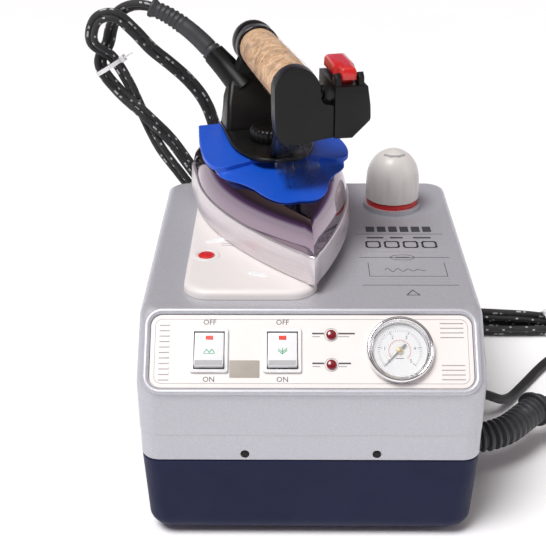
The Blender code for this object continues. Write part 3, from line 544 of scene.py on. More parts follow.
def carve(target, *cutters, union=False):
    """Cuts or joins the cutters for good, and removes them."""
    for cutter in cutters:
        added = target.modifiers.new("shape", "BOOLEAN")
        added.operation = "UNION" if union else "DIFFERENCE"
        added.object = cutter
        added.solver = "EXACT"
    bpy.context.view_layer.update()
    depsgraph = bpy.context.evaluated_depsgraph_get()
    mesh = bpy.data.meshes.new_from_object(target.evaluated_get(depsgraph))
    target.modifiers.clear()
    target.data = mesh
    for cutter in cutters:
        bpy.data.objects.remove(cutter, do_unlink=True)
    mesh.shade_smooth()
    mesh.set_sharp_from_angle(angle=radians(35))
    return target


def soften(target, width, segments=3, angle=30):
    """Small rounded edges with even shading."""
    added = target.modifiers.new("rounding", "BEVEL")
    added.width = width * MM
    added.segments = segments
    added.limit_method = "ANGLE"
    added.angle_limit = radians(angle)
    return evened(target)


def evened(target):
    """Even shading that leaves sharp edges sharp."""
    even = target.modifiers.new("shading", "WEIGHTED_NORMAL")
    even.keep_sharp = True
    return target


def joined(name, parts):
    """One object from several, each keeping its own materials."""
    mesh = bpy.data.meshes.new(name)
    whole = bmesh.new()
    materials = []
    for part in parts:
        depsgraph = bpy.context.evaluated_depsgraph_get()
        piece_mesh = bpy.data.meshes.new_from_object(part.evaluated_get(depsgraph))
        slots = []
        for material in part.data.materials:
            if material not in materials:
                materials.append(material)
            slots.append(materials.index(material))
        for polygon in piece_mesh.polygons:
            polygon.material_index = slots[min(polygon.material_index, len(slots) - 1)]
        whole.from_mesh(piece_mesh)
        bpy.data.meshes.remove(piece_mesh)
        bpy.data.objects.remove(part, do_unlink=True)
    whole.to_mesh(mesh)
    whole.free()
    for material in materials:
        mesh.materials.append(material)
    mesh.set_sharp_from_angle(angle=radians(35))
    made = bpy.data.objects.new(name, mesh)
    bpy.context.collection.objects.link(made)
    return made


def show(target, body, slot, *nodes):
    """Puts a finished piece on its body, in place of its CAD nodes."""
    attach(target, body)
    if nodes:
        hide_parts(*nodes)
    return target


def strip(points, width, height, material, frame):
    """A thin printed line through 2-D points."""
    parts = []
    for (ax, ay), (bx, by) in zip(points, points[1:]):
        length = sqrt((bx - ax) ** 2 + (by - ay) ** 2)
        turn = atan2(by - ay, bx - ax)
        local = frame @ place((ax + bx) / 2, (ay + by) / 2, 0) @ Matrix.Rotation(turn, 4, "Z")
        half = (length + width * 0.8) / 2
        parts.append(block("line", (-half, -width / 2, 0), (half, width / 2, height), material, local))
    return parts


def words(text, size, height, material, frame):
    """Plain characters as a thin solid, centred on the frame's origin."""
    curve = bpy.data.curves.new("mark", "FONT")
    curve.body = text
    curve.size = size * MM
    curve.extrude = height * MM / 2
    curve.align_x = "CENTER"
    curve.align_y = "CENTER"
    curve.resolution_u = 2
    source = bpy.data.objects.new("mark", curve)
    bpy.context.collection.objects.link(source)
    bpy.context.view_layer.update()
    depsgraph = bpy.context.evaluated_depsgraph_get()
    mesh = bpy.data.meshes.new_from_object(source.evaluated_get(depsgraph))
    bpy.data.objects.remove(source, do_unlink=True)
    mesh.transform(frame @ place(0, 0, height / 2))
    mesh.materials.clear()
    mesh.materials.append(material)
    made = bpy.data.objects.new("mark", mesh)
    bpy.context.collection.objects.link(made)
    return made


# ---------------------------------------------------------------- boiler unit


def slope_y(z):
    return FRONT_Y + max(z - FRONT_TOP, 0) * tan(SLOPE_ANGLE)


def housing_rings(stages, radius, steps=12):
    rings = []
    for z, inset, front, back_inset in stages:
        back = BACK_Y - back_inset
        outline = rounded(WIDTH / 2 - inset, (back - front) / 2, radius, (0, (front + back) / 2), steps)
        rings.append([(x, y, z) for x, y in outline])
    return rings


def panel_outline(grow, steps=10):
    centre_y, half_y = (PANEL_LOW + PANEL_HIGH) / 2, (PANEL_HIGH - PANEL_LOW) / 2
    return rounded(PANEL_HALF + grow, half_y + grow, 8.0 + grow, (0, centre_y), steps)


def panel_holes(panel):
    """Cutters for the switches, the lamps and the gauge."""
    holes = []
    for x in SWITCH_X:
        low, high = (x - 12, SWITCH_Y - 14.6, -14), (x + 12, SWITCH_Y + 14.6, 4)
        holes.append(block("hole", low, high, None, panel))
    for y in LAMP_Y:
        holes.append(rod("hole", 3.2, -14, 4, None, panel @ place(LAMP_X, y, 0), 24))
    return holes + [rod("hole", 19.9, -14, 4, None, panel @ place(*GAUGE_CENTRE, 0))]


def make_housing(m):
    top, foot = HOUSING_TOP, HOUSING_BOTTOM
    seam, blend, edge = 91.2, 4.0, 6.6  # a fine line round the skin, the bend's half height, the top's radius
    stages = [(foot, 1.6, FRONT_Y + 1.0, 1.6), (foot + 0.5, 0.9, FRONT_Y + 0.3, 0.9),
              (foot + 1.2, 0.6, FRONT_Y, 0.6), (seam, 0.5, FRONT_Y + 0.25, 0.5),
              (seam + 0.3, 0.25, FRONT_Y, 0.2), (FRONT_TOP - blend, 0.0, FRONT_Y, 0.0)]
    for share in (0.25, 0.5, 0.75, 1.0):
        z = FRONT_TOP - blend + 2 * blend * share
        stages.append((z, 0.0, FRONT_Y + blend * tan(SLOPE_ANGLE) * share**2, 0.0))
    for k in range(11):
        angle = radians(9 * k)
        z = top - edge * (1 - sin(angle))
        inset = edge * (1 - cos(angle))
        stages.append((z, 0.4 + inset, slope_y(z) + 0.4 * inset, inset))
    housing = loft("housing_skin", housing_rings(stages, 13.0), m["lacquer"])
    wall, low, high = 3.5, HOUSING_BOTTOM - 5, top - 3.5
    push = 7.0 / cos(SLOPE_ANGLE)
    knee = FRONT_TOP - (push - wall) / tan(SLOPE_ANGLE)
    stages = [(low, wall, FRONT_Y + wall, wall), (knee, wall, FRONT_Y + wall, wall)]
    stages += [(high, wall, slope_y(high) + push, wall)]
    hollow = loft("hollow", housing_rings(stages, 9.5, 6), None)
    panel = panel_frame()
    pocket = prism("pocket", panel_outline(0.3), PANEL_FACE - 2.2, 12.0, None, panel)
    cap = place(*CAP_CENTRE, HOUSING_TOP)
    cutters = [hollow, pocket, turned("dish", [(23.6, -2.3), (23.6, 6)], None, cap)]
    cutters.append(rod("neck", 14.3, -12, 6, None, cap))
    for x in (-46.0, 46.0):
        cutters.append(rod("sink", 3.2, -1.5, 3, None, aim((x, FRONT_Y, 75.5), (0, -1, 0)), 24))
    carve(housing, *cutters, *panel_holes(panel))
    show(evened(housing), "unit", "housing_paint", "upper_housing")

    lip = []
    for u, v in arc(0, 0, 1.0, 180, 0, 8):
        lip.append([(x, y, -0.3 + 1.5 * v) for x, y in panel_outline(2.7 + 2.2 * u)])
    lip += [[(x, y, -1.6) for x, y in panel_outline(grow)] for grow in (4.9, 0.5)]
    rim = loft("panel_rim", lip, m["lacquer"], panel, 60, True)
    show(rim, "unit", "housing_paint")
    profile = [(23.9, -1.0), (23.9, 0.1), (24.4, 0.2), (25.0, 0.1), (25.2, -0.5)]
    bead = turned("cap_seat", profile, m["lacquer"], cap)
    carve(bead, rod("neck", 23.7, -4, 4, None, cap))
    show(bead, "unit", "housing_paint")


def make_base(m):
    half_x, half_y, middle = WIDTH / 2 - 0.5, DEPTH / 2, (FRONT_Y + BACK_Y) / 2
    floor = 3.3
    stages = []
    for k in range(9):
        angle = radians(90 * k / 8)
        stages.append((floor + 13 * (1 - cos(angle)), 2.3 + 12 * (1 - sin(angle)), 15))
    stages += [(BASE_TOP - 0.8, 0.3, 13), (BASE_TOP - 0.2, 0.6, 13), (BASE_TOP, 1.1, 13)]
    stages += [(BASE_TOP, 3.5, 10), (floor + 12, 6, 10), (floor + 4, 12, 8), (floor + 3, 18, 6)]
    rings = []
    for z, inset, radius in stages:
        radius = max(radius, 5)
        rings.append([(x, y, z) for x, y in rounded(half_x - inset, half_y - inset, radius, (0, middle), 12)])
    base = loft("base_skin", rings, m["navy"])
    outlet = rod("hole", 12.5, 0, 20, None, aim((OUTLET[0] - 12, *OUTLET[1:]), (1, 0, 0)))
    inlet = rod("hole", 8.0, 0, 20, None, aim((MAINS_INLET[0] - 12, *MAINS_INLET[1:]), (1, 0, 0)))
    carve(base, outlet, inlet)
    show(evened(base), "unit", "navy_plastic", "base_tub")


def make_panel(m):
    panel = panel_frame()
    plate = prism("panel_plate", panel_outline(-0.1), PANEL_FACE - 1.9, PANEL_FACE, m["cream"], panel)
    carve(plate, *panel_holes(panel))
    show(soften(plate, 0.5), "unit", "cream_plastic", "control_panel")

    face = panel @ place(0, 0, PANEL_FACE)
    marks = []
    border = panel_outline(-3.2, 6)
    marks += strip(border + border[:1], 0.35, 0.08, m["grey_ink_and_shade"], face)
    ribs = [(-104.5, -97.5, 9.0 + 3.85 * k, 0.8, 1.35) for k in range(11)]
    ribs += [(88.5, 104.5, start + 3.3 * k, 0.7, 1.2) for start in (39.0, 9.5) for k in range(4)]
    for x0, x1, y, half, shadow in ribs:
        marks.append(block("rib", (x0, y - half, 0), (x1, y + half, 0.5), m["cream"], face))
        # painted shadow: a thin grey strip along the low side of each raised rib
        marks.append(block("rib", (x0, y - shadow, 0), (x1, y - half, 0.12), m["grey_ink_and_shade"], face))
    for x in SWITCH_X:
        marks.append(words("OFF", 5.2, 0.1, m["ink"], face @ place(x, 48.6, 0)))
        marks.append(words("ON", 5.2, 0.1, m["ink"], face @ place(x, 8.4, 0)))
    for x0, x1, y in ((1.0, 8.2, 40.8), (19.0, 29.5, 40.8), (1.0, 8.2, 19.8), (19.0, 26.5, 19.8)):
        marks += strip([(x0, y), (x1, y)], 1.1, 0.1, m["ink"], face)
        marks += strip([(x0, y - 2.2), (x0 + 0.65 * (x1 - x0), y - 2.2)], 0.7, 0.1, m["grey_ink_and_shade"], face)
    for y in LAMP_Y:
        ring = arc(LAMP_X, y, 4.6, 0, 360, 20)
        marks += strip(ring, 0.35, 0.08, m["grey_ink_and_shade"], face)
    show(joined("panel_print", marks), "unit", "cream_plastic")
    foil = prism("foil_patch", rounded(10.3, 6.1, 0.6, (-45.7, 15.7)), 0.0, 0.12, m["foil"], face)
    show(joined("foil_patch_joined", [foil]), "unit", "aluminium")


def make_switch(label, x, m):
    frame = panel_frame() @ place(x, SWITCH_Y, PANEL_FACE)
    levels = [(0.25, 0.0), (1.5, 0.0), (2.1, 0.25), (2.3, 0.8)]
    rings = [[(px, py, z) for px, py in rounded(13.05 - i, 15.5 - i, 1.6, steps=6)] for z, i in levels]
    bezel = loft(f"bezel_{label}", rings, m["white"], frame)
    carve(bezel, block("well", (-10.6, -13.3, -4), (10.6, 13.3, 6), None, frame))
    show(evened(bezel), "unit", "white_plastic", f"switch_bezel_{label}")
    tilt = panel_frame() @ place(x, SWITCH_Y, 0) @ Matrix.Rotation(-radians(12), 4, "X")
    face = [(-12.2, 3.3), (-8.0, 2.55), (-4.0, 2.1), (0.0, 1.9), (4.0, 2.1), (8.0, 2.55), (12.2, 3.3)]
    under = [(12.0, -3.0), (7.0, -7.0), (-7.0, -7.0), (-12.0, -3.0)]
    rings = [[(px, y, z) for y, z in face + under] for px in (-10.1, 10.1)]
    rocker = soften(loft(f"rocker_face_{label}", rings, m["white"], tilt, 20), 0.7, 3, 25)
    lower = [(-12.0, 3.42), (-8.6, 2.78), (-8.6, 2.4), (-12.0, 2.6)]
    strip_rings = [[(px, y, z) for y, z in lower] for px in (-9.4, 9.4)]
    parts = [rocker, loft("grip_strip", strip_rings, m["grey"], tilt)]
    parts.append(block("window", (-2.6, 7.0, 2.1), (2.6, 9.9, 2.95), m["red_clear"], tilt))
    icon = tilt @ place(0, -1.2, 2.02)
    if label == "left":
        peaks = [(-3.4, -1.4), (-1.6, 1.2), (0.2, -1.4), (2.0, 1.2), (3.8, -1.4)]
        lines = [(peaks, 0.55), ([(-3.6, -2.2), (3.8, -2.2)], 0.45)]
    else:
        lines = [([(0, -2.4), (0, 2.2)], 0.5), ([(-3.0, 0.4), (0, -2.3), (3.0, 0.4)], 0.55),
                 ([(-3.0, 1.9), (0, -0.8), (3.0, 1.9)], 0.4)]
    for line, width in lines:
        parts += strip(line, width, 0.12, m["green_ink"], icon)
    show(joined(f"rocker_shown_{label}", parts), f"switch_{label}", "white_plastic", f"rocker_{label}")


def make_lamps(m):
    for label, y in zip(("water", "steam"), LAMP_Y):
        spot = panel_frame() @ place(LAMP_X, y, PANEL_FACE)
        profile = [(2.9, -10), (2.9, 0.3), (3.5, 0.3)]
        profile += [(r, 1.0 + 0.35 * rise) for r, rise in arc(0, 0, 3.5, 0, 90, 8)]
        show(turned(f"lens_{label}", profile, m["lamp"], spot, 32), "unit", "lamp_red", f"lamp_{label}")


def make_gauge(m):
    """A pressure gauge with a numbered dial, a red inner scale and a needle at zero."""
    spot = panel_frame() @ place(*GAUGE_CENTRE, PANEL_FACE)
    rim = [(0, -19), (19.4, -19), (19.4, 0.3), (23.1, 0.3), (23.1, 3.4)]
    rim += [(21.6 + 1.5 * cos(radians(a)), 4.6 + 1.6 * sin(radians(a))) for a in range(0, 181, 20)]
    rim += [(19.7, 3.9), (19.1, 3.6), (19.0, -1.5), (0, -1.5)]
    show(turned("gauge_shell", rim, m["chrome"], spot, 96), "unit", "chrome", "gauge_case")
    face = spot @ place(0, 0, -0.4)
    parts = [rod("dial", 18.7, -0.8, 0.0, m["white"], face, 64)]
    for k in range(51):
        angle = radians(225 - 270 * k / 50)
        long = k % 10 == 0
        r0, r1 = (12.6 if long else 13.6), 15.2
        ends = [(r * cos(angle), r * sin(angle)) for r in (r0, r1)]
        parts += strip(ends, 0.42 if long else 0.2, 0.08, m["ink"], face)
    for k in range(6):
        angle = radians(225 - 54 * k)
        at = face @ place(10.4 * cos(angle), 10.4 * sin(angle), 0)
        parts.append(words(str(k), 3.6, 0.08, m["ink"], at))
    inner = arc(0, 0, 7.6, 225, -45, 40)
    parts += strip(inner, 0.3, 0.08, m["red_ink"], face)
    for k in range(19):
        angle = radians(225 - 15 * k)
        parts += strip([(r * cos(angle), r * sin(angle)) for r in (6.6, 7.6)], 0.22, 0.08, m["red_ink"], face)
    parts += strip([(-2.6, -5.4), (2.6, -5.4)], 0.5, 0.08, m["ink"], face)
    show(joined("dial_face", parts), "unit", "white_plastic", "gauge_dial")
    zero = spot @ Matrix.Rotation(radians(135), 4, "Z")
    edge = [(0.9, -6.0), (0.9, -2.0), (0.6, 2.2), (0.15, 15.0)]
    blade = edge + [(-x, y) for x, y in reversed(edge)]
    needle = prism("needle_blade", blade, 0.25, 0.7, m["ink"], zero)
    hub = turned("hub", [(2.3, 0.2), (2.3, 1.6), (1.9, 2.2), (0, 2.4)], m["brass"], zero, 32)
    show(joined("needle_shown", [needle, hub]), "needle", "black_plastic", "gauge_needle")


def make_rest(m):
    """The iron's mat, with two low bumps, three printed strokes and a red stud."""
    half_x, half_y, centre = 48.0, 105.0, (-43.0, 12.0)
    low = HOUSING_TOP + 0.3
    levels = [(low, 0.0), (low + 2.6, 0.25)]
    for k in range(1, 8):
        angle = radians(90 * k / 7)
        levels.append((low + 2.6 + 4.1 * sin(angle), 0.25 + 5.5 * (1 - cos(angle))))
    rings = []
    for z, inset in levels:
        outline = rounded(half_x - inset, half_y - inset, 19 - inset * 0.8, centre, 12)
        rings.append([(x, y, z) for x, y in outline])
    mat = loft("rest_pad", rings, m["mat"], WORLD, 60)
    stud = place(-77.0, -35.3, MAT_TOP)
    carve(mat, rod("hole", 6.3, -3, 3, None, stud))
    pads = [mat]
    ring = [(8.6 + 1.7 * cos(radians(a)), 0.9 * sin(radians(a)) - 0.1) for a in range(0, 181, 20)]
    ring += [(6.6, -0.8), (10.5, -0.8)]
    pads.append(turned("stud_ring", ring, m["mat"], stud, 48, True))
    for x, y, turn in ((-71.0, -10.0, 25), (-38.0, -66.0, -25)):
        spot = place(x, y, MAT_TOP) @ Matrix.Rotation(radians(turn), 4, "Z")
        shapes = []
        for z, inset in ((-0.4, 0), (0.2, 0.1), (0.5, 0.5), (0.6, 1.2)):
            outline = rounded(8.5 - inset, 3.2 - inset, 3.0 - inset, steps=6)
            shapes.append([(px, py, z) for px, py in outline])
        pads.append(loft("pad_bump", shapes, m["white"], spot, 60))
    for k in range(2):
        y = -15.5 - 3.0 * k
        pads += strip([(-66.5, y), (-58.0, y - 0.4)], 0.7, 0.1, m["grey_ink_and_shade"], place(0, 0, MAT_TOP))
    pads += strip([(-54.5, -19.0), (-51.5, -16.5)], 0.6, 0.1, m["grey_ink_and_shade"], place(0, 0, MAT_TOP))
    show(joined("rest_shown", pads), "unit", "mat_silicone", "iron_rest_mat")
    dome = [(6.0, -2.7), (6.0, 0.1)]
    dome += [(r, 0.1 + 0.18 * rise) for r, rise in arc(0, 0, 6.0, 10, 90, 8)]
    show(turned("stud_shown", dome, m["red"], stud, 48), "unit", "red_plastic", "rest_stud")


def make_cap(m):
    """The filler's tall cap with ten flutes near its foot, and the red ring under it."""
    spot = place(*CAP_CENTRE, HOUSING_TOP)
    profile = [(9.0, 21.9), (13.0, 22.0), (20.0, 21.9), (27.0, 21.5), (31.0, 20.9), (34.5, 19.9),
               (38.0, 18.4), (41.5, 16.2), (44.5, 13.4), (47.0, 9.9), (49.0, 5.6), (50.1, 2.0),
               (50.4, 0.05)]
    rings = []
    for z, radius in profile:
        depth = 1.1 * max(0.0, min(1.0, (33.0 - z) / 7.0)) * min(1.0, (z - 8.4) / 1.5)
        rings.append(round_ring(FINE, z, lambda a, r=radius, d=depth: r - d * (1 - abs(sin(a * 5.0))) ** 2))
    knob = loft("cap_shell", rings, m["cap"], spot, 60)
    crown = [knob]
    for turn in (-35, 0, 35):
        a = radians(turn - 90)
        at = spot @ place(9.5 * cos(a), 9.5 * sin(a), 47.1) @ Matrix.Rotation(a + pi / 2, 4, "Z")
        at = at @ Matrix.Rotation(radians(27), 4, "X")
        width = 2.8 if turn else 3.6
        crown += strip([(-width, 0), (width, 0)], 1.5, 0.45, m["grey_ink_and_shade"], at)
    show(joined("cap_shown", crown), "cap_knob", "cap_plastic", "cap_knob")
    gasket = [(14.3, -2.0), (22.4, -2.0), (22.6, -1.0), (22.6, 0.9), (21.9, 1.9), (21.2, 2.6), (21.2, 7.6),
              (20.6, 8.3), (14.3, 8.3)]
    show(turned("cap_ring", gasket, m["red"], spot, 72, True), "unit", "red_plastic", "cap_gasket")


def make_top_print(m):
    """Plain ruled lines, blocks and a frame on the top, with no lettering."""
    top = place(0, FRONT_Y, HOUSING_TOP)
    parts = []
    bars = [(46 + 9.0 * k, 52.8 + 9.0 * k, 168.5, 178.5, "ink") for k in range(6)]
    bars += [(46 + 18 * k, 51 + 18 * k + width, 156.5, 159.0, "ink") for k, width in enumerate((8, 5, 9))]
    bars += [(47, 98, 131.5, 134.0, "grey_ink_and_shade"), (43, 102, 86.7, 88.3, "grey_ink_and_shade"),
             (43, 102, 82.2, 83.8, "grey_ink_and_shade")]
    for x0, x1, y0, y1, ink in bars:
        parts.append(block("bar", (x0, y0, 0), (x1, y1, 0.06), m[ink], top))
    rules = ((37, 106, 164.5), (38, 106, 123), (38, 107, 78))
    lines = [([(x0, y), (x1, y)], 0.6, 0.06) for x0, x1, y in rules]
    for k in range(4):
        outline = rounded(5.2, 5.2, 2.2, (50 + 14.5 * k, 145.5), 5)
        lines.append((outline + outline[:1], 1.6, 0.06))
    oval = [(70.5 + 9 * cos(tau * k / 32), 123 + 4.4 * sin(tau * k / 32)) for k in range(33)]
    wave = [(56 + 0.9 * k, 102 + 3.4 * sin(k * 0.75) * (1 - k / 44)) for k in range(34)]
    lines += [(oval, 0.5, 0.07), ([(66, 123), (75, 123)], 1.6, 0.07), (wave, 0.5, 0.06)]
    lines.append(([(44, 114), (44, 92), (101, 92), (101, 114)], 0.5, 0.06))
    lines.append(([(68.5, 63), (77.5, 63), (73, 70.5), (68.5, 63)], 0.8, 0.06))
    for line, width, height in lines:
        parts += strip(line, width, height, m["ink"], top)
    show(joined("top_print", parts), "unit", "housing_paint")


# ---------------------------------------------------------------- iron


def sole_half(front, back, half_width, blunt=2.2, steps=44):
    """Half outline: a slightly blunt nose that swells to near-parallel sides."""
    points = [(0.0, front), (blunt, front + 0.2)]
    for k in range(1, steps + 1):
        share = k / steps
        width = half_width * sin(pi / 2 * min(share / 0.77, 1.0)) ** 0.9
        width -= 0.03 * half_width * max(share - 0.77, 0) / 0.23
        y = front + (back - front - 7) * share
        if width > blunt + 0.3:
            points.append((width, y))
    width = points[-1][0]
    points += arc(width - 7, back - 7, 7, 10, 90, 8)
    points.append((0.0, back))
    return points


def make_sole(m):
    stages = [(0.3, 1.6), (0.6, 1.0), (1.6, 0.4)]
    stages += [(SOLE_TOP - drop, inset) for drop, inset in ((1.6, 1.3), (0.7, 1.7), (0.2, 2.3), (0.0, 3.0))]
    rings = [mirrored(sole_half(i * 1.5, SOLE_LENGTH - i, SOLE_HALF - i), z, 60) for z, i in stages]
    for z in (SOLE_TOP, 10.0):
        rings.append(mirrored(sole_half(34, SOLE_LENGTH - 14, SOLE_HALF - 16), z, 60))
    show(loft("sole_shown", rings, m["sole"], iron_frame(), 28), "iron", "aluminium", "soleplate")


def cover_ring(angle, wall):
    """One level section of the dome: steep flanks that round over to a flat top."""
    rise, run = sin(radians(angle)), 1 - cos(radians(angle))
    z = SOLE_TOP + 0.3 + (COVER_TOP - wall - SOLE_TOP - 0.3) * rise
    front, back = 4 + wall * 2 + 15 * run, SOLE_LENGTH - 3 - wall - 8 * run
    return mirrored(sole_half(front, back, SOLE_HALF - 3 - wall - 22 * run, 0.8), z, 70)


def make_cover(m):
    outer = [cover_ring(90 - 90 * k / 16, 0.0) for k in range(17)]
    inner = [cover_ring(90 * k / 4, 1.5) for k in range(5)]
    show(loft("cover_shown", outer + inner, m["dome"], iron_frame(), 50), "iron", "chrome", "chrome_cover")


def make_shield(m):
    """The blue guard: an apron over the dome, a fold above it and two broad wings."""
    low = COVER_TOP + 0.3
    apron = [(0, 46), (9, 45), (17, 50), (24, 62), (29, 76), (36, 88), (44, 97), (49, 106), (51, 122),
             (52, 142), (50, 170), (47, 200)]
    fold = [(0, 112), (12, 111), (24, 108), (33, 106), (41, 105), (48, 107), (51, 115), (54, 128), (54, 142),
            (53, 170), (50, 202)]
    rim = [(0, 120), (12, 119), (24, 115), (33, 111), (43, 107), (50, 108), (54.5, 115), (57, 128), (57, 142),
           (55, 170), (50.5, 203)]
    lip = [(0, 121), (12, 120), (24, 116), (33, 112), (43, 108), (49.5, 109), (53.8, 115.5),
           (56.2, 128.5), (56.2, 142), (54.2, 170), (49.9, 202)]
    fold, rim, lip = ([line[0]] + line for line in (fold, rim, lip))
    levels = [(apron, low), (apron, low + 0.9)]
    for share in (0.15, 0.3, 0.45, 0.6, 0.75, 0.88, 1.0):
        line = [(ax + (bx - ax) * share, ay + (by - ay) * share) for (ax, ay), (bx, by) in zip(apron, fold)]
        levels.append((line, low + 1.0 + 1.5 * share ** 2))
    levels += [(rim, 50.2), (rim, 53.2), (lip, SHIELD_TOP)]
    rings = []
    for line, z in levels:
        half = through(line, 5) + [(0.0, line[-1][1] + 3)]
        rings.append(both_sides(half, z))
    shield = loft("shield_shown", rings, m["blue"], iron_frame(), 48)
    show(evened(shield), "iron", "blue_plastic", "heat_shield")


def make_handle(m):
    iron = iron_frame()
    edge = [(0, 104), (11, 104.5), (19, 109), (26, 120), (31, 134), (33, 150), (33, 170), (33, 192)]
    half = smooth_outline(edge, 34)
    half += arc(27.5, 198, 5.5, 0, 90, 6) + [(0, 203.8)]
    low = SHIELD_TOP + 0.3
    levels = ((low, 0.4), (low + 0.7, 0.0), (SHOE_TOP - 0.9, 0.0), (SHOE_TOP - 0.3, 0.4), (SHOE_TOP, 1.2))
    rings = []
    for z, inset in levels:
        shape = [(x * (1 - inset / 33), 148 + (y - 148) * (1 - inset / 56)) for x, y in half]
        rings.append(mirrored(shape, z, 44))
    show(loft("shoe_shown", rings, m["black"], iron, 50), "iron", "black_plastic", "handle_shoe")

    # Front post: face plate, rounded rim, arm and leg
    axis_z, radius = GRIP_FRONT_Z, 16.5
    face = arc(0, axis_z, radius, 0, 180, 24)
    face += [(-16.3, 104), (-15.4, 95), (-13.2, 89.5), (-9.5, 86.6), (-4, 85.7), (6, 86.6), (16, 88.4),
             (26.6, 89.6)]
    face += [(26.6, 113), (24.5, 114.0), (20.5, 114.6), (18.2, 116), (17.0, 119)]
    front = 56.4
    plate = upright("post_shown", face, front, 69.8, m["black"], iron)
    sections = [(114, SHOE_TOP + 0.3, 9, 7), (111.5, 60, 9.2, 7.2), (105, 64.5, 9.6, 7.5),
                (92, 73.5, 10.8, 7.5), (77, 84, 13, 7), (67, 92.5, 14.3, 6.3), (63.5, 98, 14.6, 6)]
    rings = []
    for y, z, half_x, half_y in sections:
        rings.append([(x, y + s, z) for x, s in rounded(half_x, half_y, 4.5, steps=6)])
    carve(plate, loft("leg", rings, m["black"], iron), union=True)
    soften(plate, 1.5, 4, 40)
    inset = arc(0, axis_z, 12.3, 0, 180, 20)
    inset += [(-12.1, 104), (-11, 96), (-8, 92), (0, 91), (8, 92.5), (12.2, 98), (12.3, 110)]
    recess = upright("recess", inset, front - 0.02, front + 0.3, m["black"], iron)
    show(joined("post_whole", [plate, recess]), "iron", "black_plastic", "front_post")

    # Rear post: a leg, the hub behind the grip and the line's socket
    sections = [((-5, 188), 27, 15, SHOE_TOP + 0.3), ((-5, 188.5), 26.4, 14.6, 61),
                ((-5, 191), 25, 13, 70), ((-5, 194), 24, 12, 78), ((-4.5, 198.5), 21, 7.5, 90),
                ((-4, 200.8), 18, 4.4, 98), ((-3, 200.6), 13, 4.2, 112)]
    rings = []
    for centre, half_x, half_y, z in sections:
        rings.append([(x, y, z) for x, y in rounded(half_x, half_y, 4.0, centre, 6)])
    rear = loft("rear_shown", rings, m["black"], iron, 50)
    hub = turned("hub", [(17.0, 0), (17.6, 0.6), (17.6, 9.4), (17.0, 10)], m["black"], grip_frame(196), 64)
    route = smooth_route([(-12, 197, 84), (-18, 204, 91.5), (-25, 211.5, 100), (-33.5, 218.8, 109.6)], 2.0)
    last = len(route) - 1
    radii = [11.5 - 2.2 * k / last for k in range(last + 1)]
    socket = swept("socket", route, radii, m["black"], iron, 36)
    carve(rear, hub, socket, union=True)
    show(soften(rear, 1.0, 3, 40), "iron", "black_plastic", "rear_post")

    cap = [(16.8, 0), (17.4, 0.6)]
    cap += [(17.8 * cos(radians(a)), 11 + 19.4 * sin(radians(a))) for a in range(-30, 91, 8)] + [(0, 30.4)]
    end = turned("end_cap_shown", cap, m["black"], grip_frame(206.7), 64)
    show(end, "iron", "black_plastic", "grip_end_cap")


def make_grip(m):
    length = 195.7 - 71.3
    frame = grip_frame(71.3)
    barrel = [(15.0, 0), (15.6, 0.5)]
    for k in range(1, 24):
        barrel.append((15.9 + 0.35 * sin(pi * k / 24), length * k / 24))
    barrel += [(15.6, length - 0.5), (15.0, length)]
    show(turned("cork_shown", barrel, m["cork"], frame, 64), "iron", "cork", "cork_grip")

    # Clear wrapping: a loose wrinkled sleeve on the grip
    def wrinkled(angle, z):
        p = Vector((cos(angle) * 2.2, sin(angle) * 2.2, z * 0.09))
        fold = noise.noise(p) + 0.5 * noise.noise(p * 2.7)
        return 16.75 + 0.75 * abs(fold) + 0.35 * sin(angle * 3 + z * 0.12)

    count = 72
    rings = []
    for k in range(count + 1):
        z = 2.0 + (length - 3.0) * k / count
        rings.append(round_ring(96, z, lambda angle, z=z: wrinkled(angle, z)))
    show(open_tube("film_wrap", rings, m["film"], frame), "iron", "clear_glass")


def make_switch_box(m):
    iron = iron_frame()
    outline = [(27, 89), (40, 88.6), (53.0, 101), (53.4, 103), (53.0, 112), (50.8, 126.2), (50.0, 127),
               (27, 127)]
    case = upright("box_shown", outline, 55.2, 103, m["black"], iron)
    ears = []
    for low, high in ((27.4, 31.2), (44.2, 48.0)):
        ear = [(56.0, 118), (66, 118), (66, 131), (63.5, 134.5), (59.5, 136), (56.0, 133)]
        ears.append(loft("ear", [[(x, y, z) for y, z in ear] for x in (low, high)], m["black"], iron))
    carve(case, *ears, union=True)
    carve(case, block("cavity", (30, 60, 92.5), (47.5, 99.5, 124), m["black"], iron),
          block("slot", (33, 63, 118), (42.5, 97, 132), m["black"], iron))
    soften(case, 1.2, 3, 25)
    boss = turned("boss", [(5.5, 0), (5.5, 1.6), (4.6, 2.6), (0, 3.0)], m["black"],
                  iron @ place(27.2, 92, 112) @ Matrix.Rotation(-pi / 2, 4, "Y"), 32)
    show(joined("switch_box_shown", [case, boss]), "iron", "black_plastic", "switch_box")

    plan = [(32.2, 58), (43.2, 58), (43.4, 68), (45.3, 71), (45.5, 98), (29, 98), (29.2, 71), (32.0, 68)]
    rings = []
    cx, cy = 37.6, 78.0
    for z, inset in ((130.6, 0.4), (131.2, 0.0), (137.0, 0.3), (138.8, 1.4), (139.6, 3.0), (139.9, 5.0)):
        sx, sy = 1 - inset / 8.0, 1 - inset / 20.0
        rings.append([(cx + (x - cx) * sx, cy + (y - cy) * sy, z - 0.03 * max(0.0, 66 - y)) for x, y in plan])
    button = loft("button_cap", rings, m["red"], iron, 50)
    soften(button, 1.2, 3, 40)
    stem = block("stem", (33.6, 64, 118.0), (41.9, 96, 131), m["red"], iron)
    show(joined("button_shown", [button, stem]), "steam_button", "red_plastic", "steam_button")


